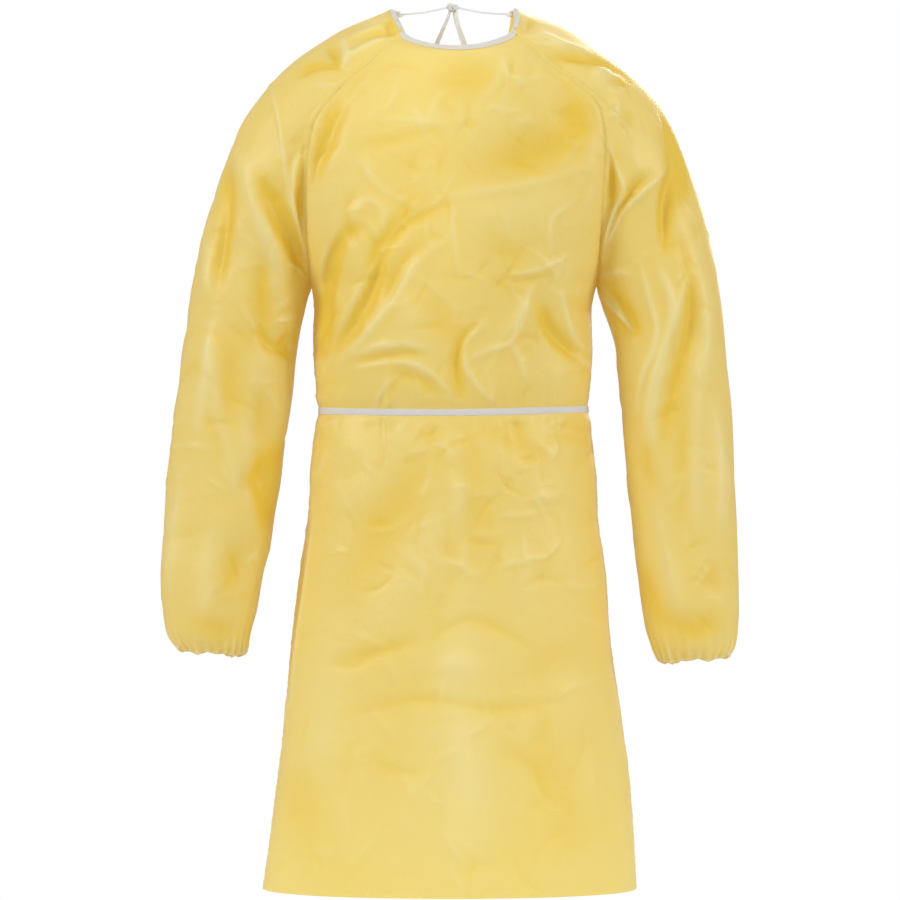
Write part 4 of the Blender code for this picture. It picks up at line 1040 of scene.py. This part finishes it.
# Neck ties. The tape's two ends, run across the open back of the neck to a pulled knot, from
# which two free ends hang down the back between the panels.
TAPE_SECTION = [(-0.5, 0), (-0.47, 0.3), (-0.3, 0.42), (0, 0.48), (0.3, 0.42), (0.47, 0.3),
                (0.5, 0), (0.47, -0.3), (0.3, -0.42), (0, -0.48), (-0.3, -0.42), (-0.47, -0.3)]
NECK_KNOT_AT = (0.0, 90.0, 30.0)
NECK_KNOT_SIZE = (18.0, 11.0, 13.0)
KNOT_GAP = 0.3
KNOT_INSET = (2.6, 1.9, 2.6)   # the strand's middle line stays this far inside the knot
KNOT_STEPS, STRAND_SIDES = 120, 18
STRAND_THICK, STRAND_WIDE = 1.7, 2.7
TAIL_IN_KNOT = 1.6           # a tail's first point is this far up in its knot
TAIL_CUP, TIE_CUP = 0.6, 0.25
TIE_STEPS, TAIL_STEPS = 36, 90
NECK_TAILS = {
    "left": [(-8, 91, 12), (-15, 92, -4), (-21.5, 93, -20), (-24, 94, -45), (-25, 95, -75),
             (-24, 95, -105), (-22, 95, -135), (-21, 95, -162)],
    "right": [(6, 91.5, 10), (11, 93, -5), (16, 94, -20), (19, 95, -45), (20, 96, -75),
              (19, 96, -105), (17.5, 96, -135), (17, 96, -176)],
}


def knot_radius(lean):
    return math.cos(lean) ** 0.8 * (1 - 0.12 * math.cos(3 * lean))


def under_knot(centre, size, beside):
    """The point just below a knot, this far to the side of its middle."""
    lean = math.asin(beside / (size[0] / 2))
    drop = size[2] / 2 * knot_radius(lean) * math.cos(math.pi / 10)
    return np.array(centre) + (beside, 0, -drop - KNOT_GAP)


def tape_along(name, path, ways, cup, first_along=None):
    """A flat tape along a path in mm; ways point across it, and it cups a little."""
    along = unit(np.gradient(path, axis=0))
    if first_along is not None:
        along[0] = first_along
    ways = unit(ways - along * (ways * along).sum(1)[:, None])
    face = np.cross(along, ways)
    sections = []
    share = np.linspace(0, 1, len(path))
    for step in range(len(path)):
        curl = cup * math.sin(7 * share[step] + 1.3) * 4 * share[step] * (1 - share[step])
        sections.append([path[step] + ways[step] * across * TAPE_WIDTH
                         + face[step] * (rise * TAPE_THICK + curl * (4 * across**2 - 0.5))
                         for across, rise in TAPE_SECTION])
    return swept(name, sections, TAPE, ends=True)


def knot_of_tape(name, centre, size, spin):
    """A pulled knot: a bunched tape wound in a tight overhand knot over its own lump."""
    turn = np.linspace(0, 2 * math.pi, KNOT_STEPS + 1)[:-1]
    line = np.stack([np.sin(turn) + 2 * np.sin(2 * turn), -np.sin(3 * turn),
                     np.cos(turn) - 2 * np.cos(2 * turn)], axis=1)
    line /= np.abs(line).max(axis=0)
    room = np.array(size) / 2 - KNOT_INSET
    line = line * room
    tilt = np.array([[math.cos(spin), 0, math.sin(spin)], [0, 1, 0],
                     [-math.sin(spin), 0, math.cos(spin)]])
    line = line @ tilt.T
    line = np.clip(line, -room, room)
    line = np.concatenate([line, line[:1]])
    along = unit(np.gradient(line, axis=0))
    along[0] = along[-1] = unit(line[1] - line[-2])
    outward = unit(line * (1, 2.5, 1))
    outward = unit(outward - along * (outward * along).sum(1)[:, None])
    side = np.cross(along, outward)
    sections = []
    round_it = 2 * math.pi * np.arange(STRAND_SIDES) / STRAND_SIDES
    for step in range(len(line)):
        crease = 1 + 0.10 * np.cos(5 * round_it + 2 * math.sin(step * 2 * math.pi / 40))
        sections.append(line[step] + np.array(centre)
                        + np.outer(np.sin(round_it) * STRAND_THICK * crease, outward[step])
                        + np.outer(np.cos(round_it) * STRAND_WIDE * crease, side[step]))
    return swept(name, sections, TAPE)


def hang_tail(knot, hand, path, angle, swing=1):
    """A free end that hangs from a knot, turned about its own length by an angle at each step."""
    path[0] += (0, 0, TAIL_IN_KNOT)
    ways = np.concatenate([np.cos(angle), swing * np.sin(angle), 0 * angle], axis=1)
    tail = tape_along(f"{knot}_tail_tape_{hand}", path, ways, TAIL_CUP)
    stand_in(tail, f"{knot}_tail_{hand}")


neck_knot = knot_of_tape("neck_knot_tape", NECK_KNOT_AT, NECK_KNOT_SIZE, spin=0.2)
stand_in(neck_knot, "neck_knot")

for hand, sign, end in (("left", -1, 0), ("right", 1, -1)):
    last, before = neck[end], neck[end - sign]
    tape_way = unit(last[9:14].mean(0) - (last[0] + last[-1]) / 2)
    onward = unit((last - before).mean(0))
    start = last.mean(axis=0) + onward * 0.4
    at_knot = np.array(NECK_KNOT_AT) + (sign * (NECK_KNOT_SIZE[0] / 2 - 1.5), 0, 0)
    sag = np.array([sign * 36, 86, (start[2] + at_knot[2]) / 2 - 1.0])
    path = spaced_along([start, start + onward * 3.0, sag, at_knot], TIE_STEPS)
    turned = smooth_step(np.linspace(0, 1, TIE_STEPS + 1) / 0.12)[:, None]
    ways = tape_way * (1 - turned) + np.array([0, 1.0, 0.3]) * turned
    tie = tape_along("neck_tie_tape_" + hand, path, ways, TIE_CUP, onward)
    stand_in(tie, "neck_tie_" + hand)

for hand, beside, first_turn in (("left", -3.5, 1.15), ("right", 3.5, -0.8)):
    start = under_knot(NECK_KNOT_AT, NECK_KNOT_SIZE, beside)
    path = spaced_along([start, *NECK_TAILS[hand]], TAIL_STEPS)
    share = np.linspace(0, 1, TAIL_STEPS + 1)[:, None]
    angle = first_turn * np.cos(2.6 * share) * (1 - 0.4 * share)
    hang_tail("neck", hand, path, angle)


# Belt. The same white tape, run once round the waist over the cloth and knotted behind, where
# its two free ends hang down the skirt. It is pulled just enough to nip the cloth in.
BELT_KNOT_SIZE = (17.0, 9.0, 15.0)
BELT_STEPS = 420
BELT_RISE = 5.0              # this near the knot the belt lifts off the cloth,
LAP_CLEAR = 42.0             # and past the lap's edge it is clear up to here
BELT_OVER_LAP = 0.95
BELT_TAILS = {"left": (205.0, -22.0, 0), "right": (188.0, 19.0, 1)}   # drop, spread, phase
BELT_TAIL_OFF = 4.0
BELT_TAIL_STEPS = 100
belt_rows = [int(np.abs(LEVELS - z).argmin()) for z in (BELT_BOTTOM, BELT_Z, BELT_TOP)]
left_edge = backs["left"].points[belt_rows[0]:belt_rows[-1] + 1, :3 * STEP]
panel_y = left_edge[..., 1].max()
belt_knot_at = (0.0, panel_y + KNOT_GAP + BELT_KNOT_SIZE[1] / 2 * 0.9, BELT_Z)
half_knot = BELT_KNOT_SIZE[0] / 2 + KNOT_GAP


def belt_station(cloth, column):
    points = cloth.points[belt_rows, column]
    return points + cloth.edge_normals[belt_rows, column] * (TAPE_LIE + TAPE_THICK / 2)


stations = []
for cloth, columns in ((backs["left"], range(BACK_CELLS + 1)), (front, range(1, FRONT_CELLS)),
                       (backs["right"], range(BACK_CELLS + 1))):
    for column in columns:
        station = belt_station(cloth, column)
        x, y = station[1][:2]
        if y > 0 and cloth is backs["left"] and x > -half_knot - BELT_RISE:
            continue
        if y > 0 and cloth is backs["right"] and x < LAP_CLEAR:
            continue
        stations.append(station)
middle_y = belt_knot_at[1] - TAPE_THICK / 2
lift = np.array([[-TAPE_WIDTH / 2], [0], [TAPE_WIDTH / 2]]) * (0, 0, 1)
stations.insert(0, lift + (-half_knot + 2, middle_y, BELT_Z))
lap_x = backs["left"].points[belt_rows[1], 0, 0]
stations.append(lift + (lap_x + KNOT_GAP + LAP_LIFT, panel_y + BELT_OVER_LAP, BELT_Z))
stations.append(lift + (half_knot - 2, middle_y, BELT_Z))
stations = np.array(stations)
lines = [spaced_along(stations[:, i], BELT_STEPS) for i in range(3)]
centre_line = lines[1]
along = unit(np.gradient(centre_line, axis=0))
ways = unit(lines[2] - lines[0])
face = unit(np.cross(ways, along))
face *= np.sign((face * (centre_line - (0, -10, BELT_Z)) * (1, 1, 0)).sum(1))[:, None]
sections = []
for across, rise in TAPE_SECTION:
    sections.append(centre_line + ways * across * TAPE_WIDTH + face * rise * TAPE_THICK)
belt = swept("belt_tape", np.stack(sections, axis=1), TAPE, ends=True)
belt_knot = knot_of_tape("belt_knot_tape", belt_knot_at, BELT_KNOT_SIZE, spin=-0.3)
stand_in(belt, "waist_belt")
stand_in(belt_knot, "belt_knot")

for hand, (drop, spread, phase) in BELT_TAILS.items():
    beside = math.copysign(TAPE_WIDTH / 2 + 0.6, spread)
    start = under_knot(belt_knot_at, BELT_KNOT_SIZE, beside)
    share = np.linspace(0, 1, 9)[1:, None]
    z = start[2] - drop * share
    skin = table_at(BODY, z[:, 0])[:, BACK][:, None] + LAP_LIFT
    path = np.concatenate([beside + (spread - beside) * share**0.6, skin + BELT_TAIL_OFF, z], 1)
    path = spaced_along([start, *path], BELT_TAIL_STEPS)
    share = np.linspace(0, 1, BELT_TAIL_STEPS + 1)[:, None]
    angle = 0.25 * np.sin(5 * share + phase) * share
    hang_tail("belt", hand, path, angle, swing=0.3)


# Stitches. Lockstitch in the trough of each sewn seam and near the neck tape's lower edge, and
# an overlock that whips over the gathered wrist edge. One short thread is laid at each step.
THREAD_THICK = 0.5 * MM
THREAD_LIFT = 0.1            # in mm, off the cloth


def stitch_tree():
    """Lays one rounded stitch at equal steps along a line of edges."""
    tree = bpy.data.node_groups.new("stitches", "GeometryNodeTree")
    tree.interface.new_socket("Geometry", in_out="INPUT", socket_type="NodeSocketGeometry")
    for name, kind in (("Pitch", "NodeSocketFloat"), ("Length", "NodeSocketFloat"),
                       ("Thickness", "NodeSocketFloat"), ("Slant", "NodeSocketFloat"),
                       ("Material", "NodeSocketMaterial")):
        tree.interface.new_socket(name, in_out="INPUT", socket_type=kind)
    tree.interface.new_socket("Geometry", in_out="OUTPUT", socket_type="NodeSocketGeometry")

    def node(kind, sockets, **settings):
        made_node = tree.nodes.new(kind)
        for name, value in settings.items():
            setattr(made_node, name, value)
        for name, value in sockets.items():
            if isinstance(value, bpy.types.NodeSocket):
                tree.links.new(value, made_node.inputs[name])
            else:
                made_node.inputs[name].default_value = value
        return made_node

    given = tree.nodes.new("NodeGroupInput").outputs
    line = node("GeometryNodeMeshToCurve", {"Mesh": given["Geometry"]}).outputs[0]
    steps = node("GeometryNodeResampleCurve", {"Curve": line, "Length": given["Pitch"]},
                 mode="LENGTH").outputs[0]
    tangent = node("GeometryNodeInputTangent", {}).outputs[0]
    turned = node("FunctionNodeAlignRotationToVector", {"Vector": tangent}, axis="Z").outputs[0]
    slant = node("FunctionNodeAxisAngleToRotation", {"Axis": (1, 0, 0), "Angle": given["Slant"]})
    turned = node("FunctionNodeRotateRotation", {"Rotation": turned, "Rotate By": slant.outputs[0]},
                  rotation_space="LOCAL").outputs[0]
    bead = node("GeometryNodeMeshUVSphere", {"Segments": 6, "Rings": 5, "Radius": 0.5}).outputs[0]
    size = node("ShaderNodeCombineXYZ", {"X": given["Thickness"], "Y": given["Thickness"],
                                         "Z": given["Length"]}).outputs[0]
    laid = node("GeometryNodeInstanceOnPoints", {"Points": steps, "Instance": bead,
                                                 "Rotation": turned, "Scale": size}).outputs[0]
    whole = node("GeometryNodeRealizeInstances", {"Geometry": laid}).outputs[0]
    ended = node("GeometryNodeSetMaterial", {"Geometry": whole, "Material": given["Material"]})
    out = tree.nodes.new("NodeGroupOutput")
    tree.links.new(ended.outputs[0], out.inputs[0])
    return tree


STITCHES = stitch_tree()


def stitched(name, lines, material, pitch, length, thick=THREAD_THICK, slant=0.0):
    """Stitches along lines of points in mm, as one plain mesh."""
    points, edges = [], []
    for line in lines:
        first = len(points)
        points += (np.array(line) * MM).tolist()
        edges += [(i, i + 1) for i in range(first, len(points) - 1)]
    mesh = bpy.data.meshes.new(name + "_line")
    mesh.from_pydata(points, edges, [])
    thing = placed(name, mesh)
    layer = thing.modifiers.new("stitches", "NODES")
    layer.node_group = STITCHES
    given = {item.name: item.identifier for item in STITCHES.interface.items_tree
             if item.in_out == "INPUT"}
    for socket, value in (("Pitch", pitch * MM), ("Length", length * MM), ("Thickness", thick),
                          ("Slant", slant), ("Material", material)):
        layer[given[socket]] = value
    evaluated = thing.evaluated_get(bpy.context.evaluated_depsgraph_get())
    plain = bpy.data.meshes.new_from_object(evaluated)
    thing.modifiers.clear()
    thing.data = plain
    plain.shade_smooth()
    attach(thing, "root")


THREAD = Finish("thread_yellow", Roughness=0.6, Base_Color=(0.86, 0.62, 0.20, 1)).material
WHITE_THREAD = Finish("thread_white", Roughness=0.6, Base_Color=(0.88, 0.88, 0.86, 1)).material

seams = []
for hand, column in (("left", 0), ("right", -1)):
    for cloth, rows, at in ((front, slice(None), column),
                            (backs[hand], slice(len(LEVELS), None), -1 - column),
                            (sleeves[hand], slice(0, -8), 0)):
        seams.append(cloth.points[rows, at] + cloth.edge_normals[rows, at] * THREAD_LIFT)
stitched("seam_stitches", seams, THREAD, pitch=3.4, length=2.4)
stitched("neck_stitches", [neck[:, 4] + neck_facing[:, 4] * THREAD_LIFT],
         WHITE_THREAD, pitch=3.0, length=2.2)
wrist_lines = []
for sleeve in sleeves.values():
    edge = sleeve.points[-7]
    outward = unit((edge - edge.mean(0)) * (1, 1, 0))
    line = edge + outward * 0.9 + (0, 0, 0.6)
    wrist_lines.append([*line, line[0]])
stitched("wrist_stitches", wrist_lines, WHITE_THREAD, pitch=3.2, length=4.4,
         thick=0.8 * MM, slant=1.2)


# Studio: a white floor below the gown and a white background behind it, wide soft light from all
# round and the camera level with the waist, as far off as a catalogue photograph is taken from.
FLOOR_Z = -1.32
SKY_LIGHT = 0.455
FLOOR_REACH = 1.4
SENSOR_WIDTH = 36
PICTURE_WIDTH = 1170.0       # what the camera sees across at the gown, in mm
WHITE = Finish("studio_white", Roughness=0.9, Base_Color=(0.85, 0.85, 0.85, 1),
               Emission_Color=(1, 1, 1, 1), Emission_Strength=0.06).material


def plane(name, corners, material):
    mesh = bpy.data.meshes.new(name)
    mesh.from_pydata(corners, [], [range(len(corners))])
    mesh.materials.append(material)
    thing = placed(name, mesh)
    return thing


plane("floor", [(FLOOR_REACH * math.cos(a), FLOOR_REACH * math.sin(a), FLOOR_Z)
                for a in np.linspace(0, 2 * math.pi, 97)[:-1]], WHITE)


def softbox(name, place, aim, size, power, colour=(1, 1, 1)):
    light = bpy.data.lights.new(name, "AREA")
    light.shape = "RECTANGLE"
    light.size, light.size_y = size
    light.energy = power
    light.color = colour
    lamp = placed(name, light)
    lamp.location = place
    way = mathutils.Vector(aim) - mathutils.Vector(place)
    lamp.rotation_euler = way.to_track_quat("-Z", "Y").to_euler()



softbox("key", (-3.5, -2.1, 1.5), (0, 0, -0.5), (1.4, 1.8), 92)
softbox("fill", (3.5, -2.2, 0.9), (0, 0, -0.6), (1.4, 1.8), 72)
softbox("front", (-0.5, -4.6, 1.5), (0, 0, -0.6), (1.6, 1.2), 20)
softbox("top", (0.3, -0.2, 2.6), (0, 0, -0.5), (1.6, 1.6), 12)
softbox("behind", (0.8, 3.4, 0.9), (0, 0, -0.5), (2.4, 2.0), 90)

world = bpy.data.worlds.new("studio")
world.use_nodes = True
backdrop = world.node_tree.nodes["Background"]
backdrop.inputs["Color"].default_value = (1, 1, 1, 1)
sky = world.node_tree.nodes.new("ShaderNodeBackground")
sky.inputs["Color"].default_value = (1, 1, 1, 1)
sky.inputs["Strength"].default_value = SKY_LIGHT
path = world.node_tree.nodes.new("ShaderNodeLightPath")
pick = world.node_tree.nodes.new("ShaderNodeMixShader")
for source, target in ((path.outputs["Is Camera Ray"], pick.inputs[0]),
                       (sky.outputs[0], pick.inputs[1]), (backdrop.outputs[0], pick.inputs[2]),
                       (pick.outputs[0], world.node_tree.nodes["World Output"].inputs[0])):
    world.node_tree.links.new(source, target)
bpy.context.scene.world = world
bpy.context.scene.view_settings.view_transform = "Standard"

camera = bpy.data.cameras.new("photo_view")
camera.sensor_width = SENSOR_WIDTH
camera.lens = SENSOR_WIDTH * VIEW_DISTANCE / PICTURE_WIDTH
viewer = placed("photo_view", camera)
viewer.location = (VIEW_X * MM, -VIEW_DISTANCE * MM, VIEW_Z * MM)
viewer.rotation_euler = (math.pi / 2, 0, 0)
bpy.context.scene.camera = viewer
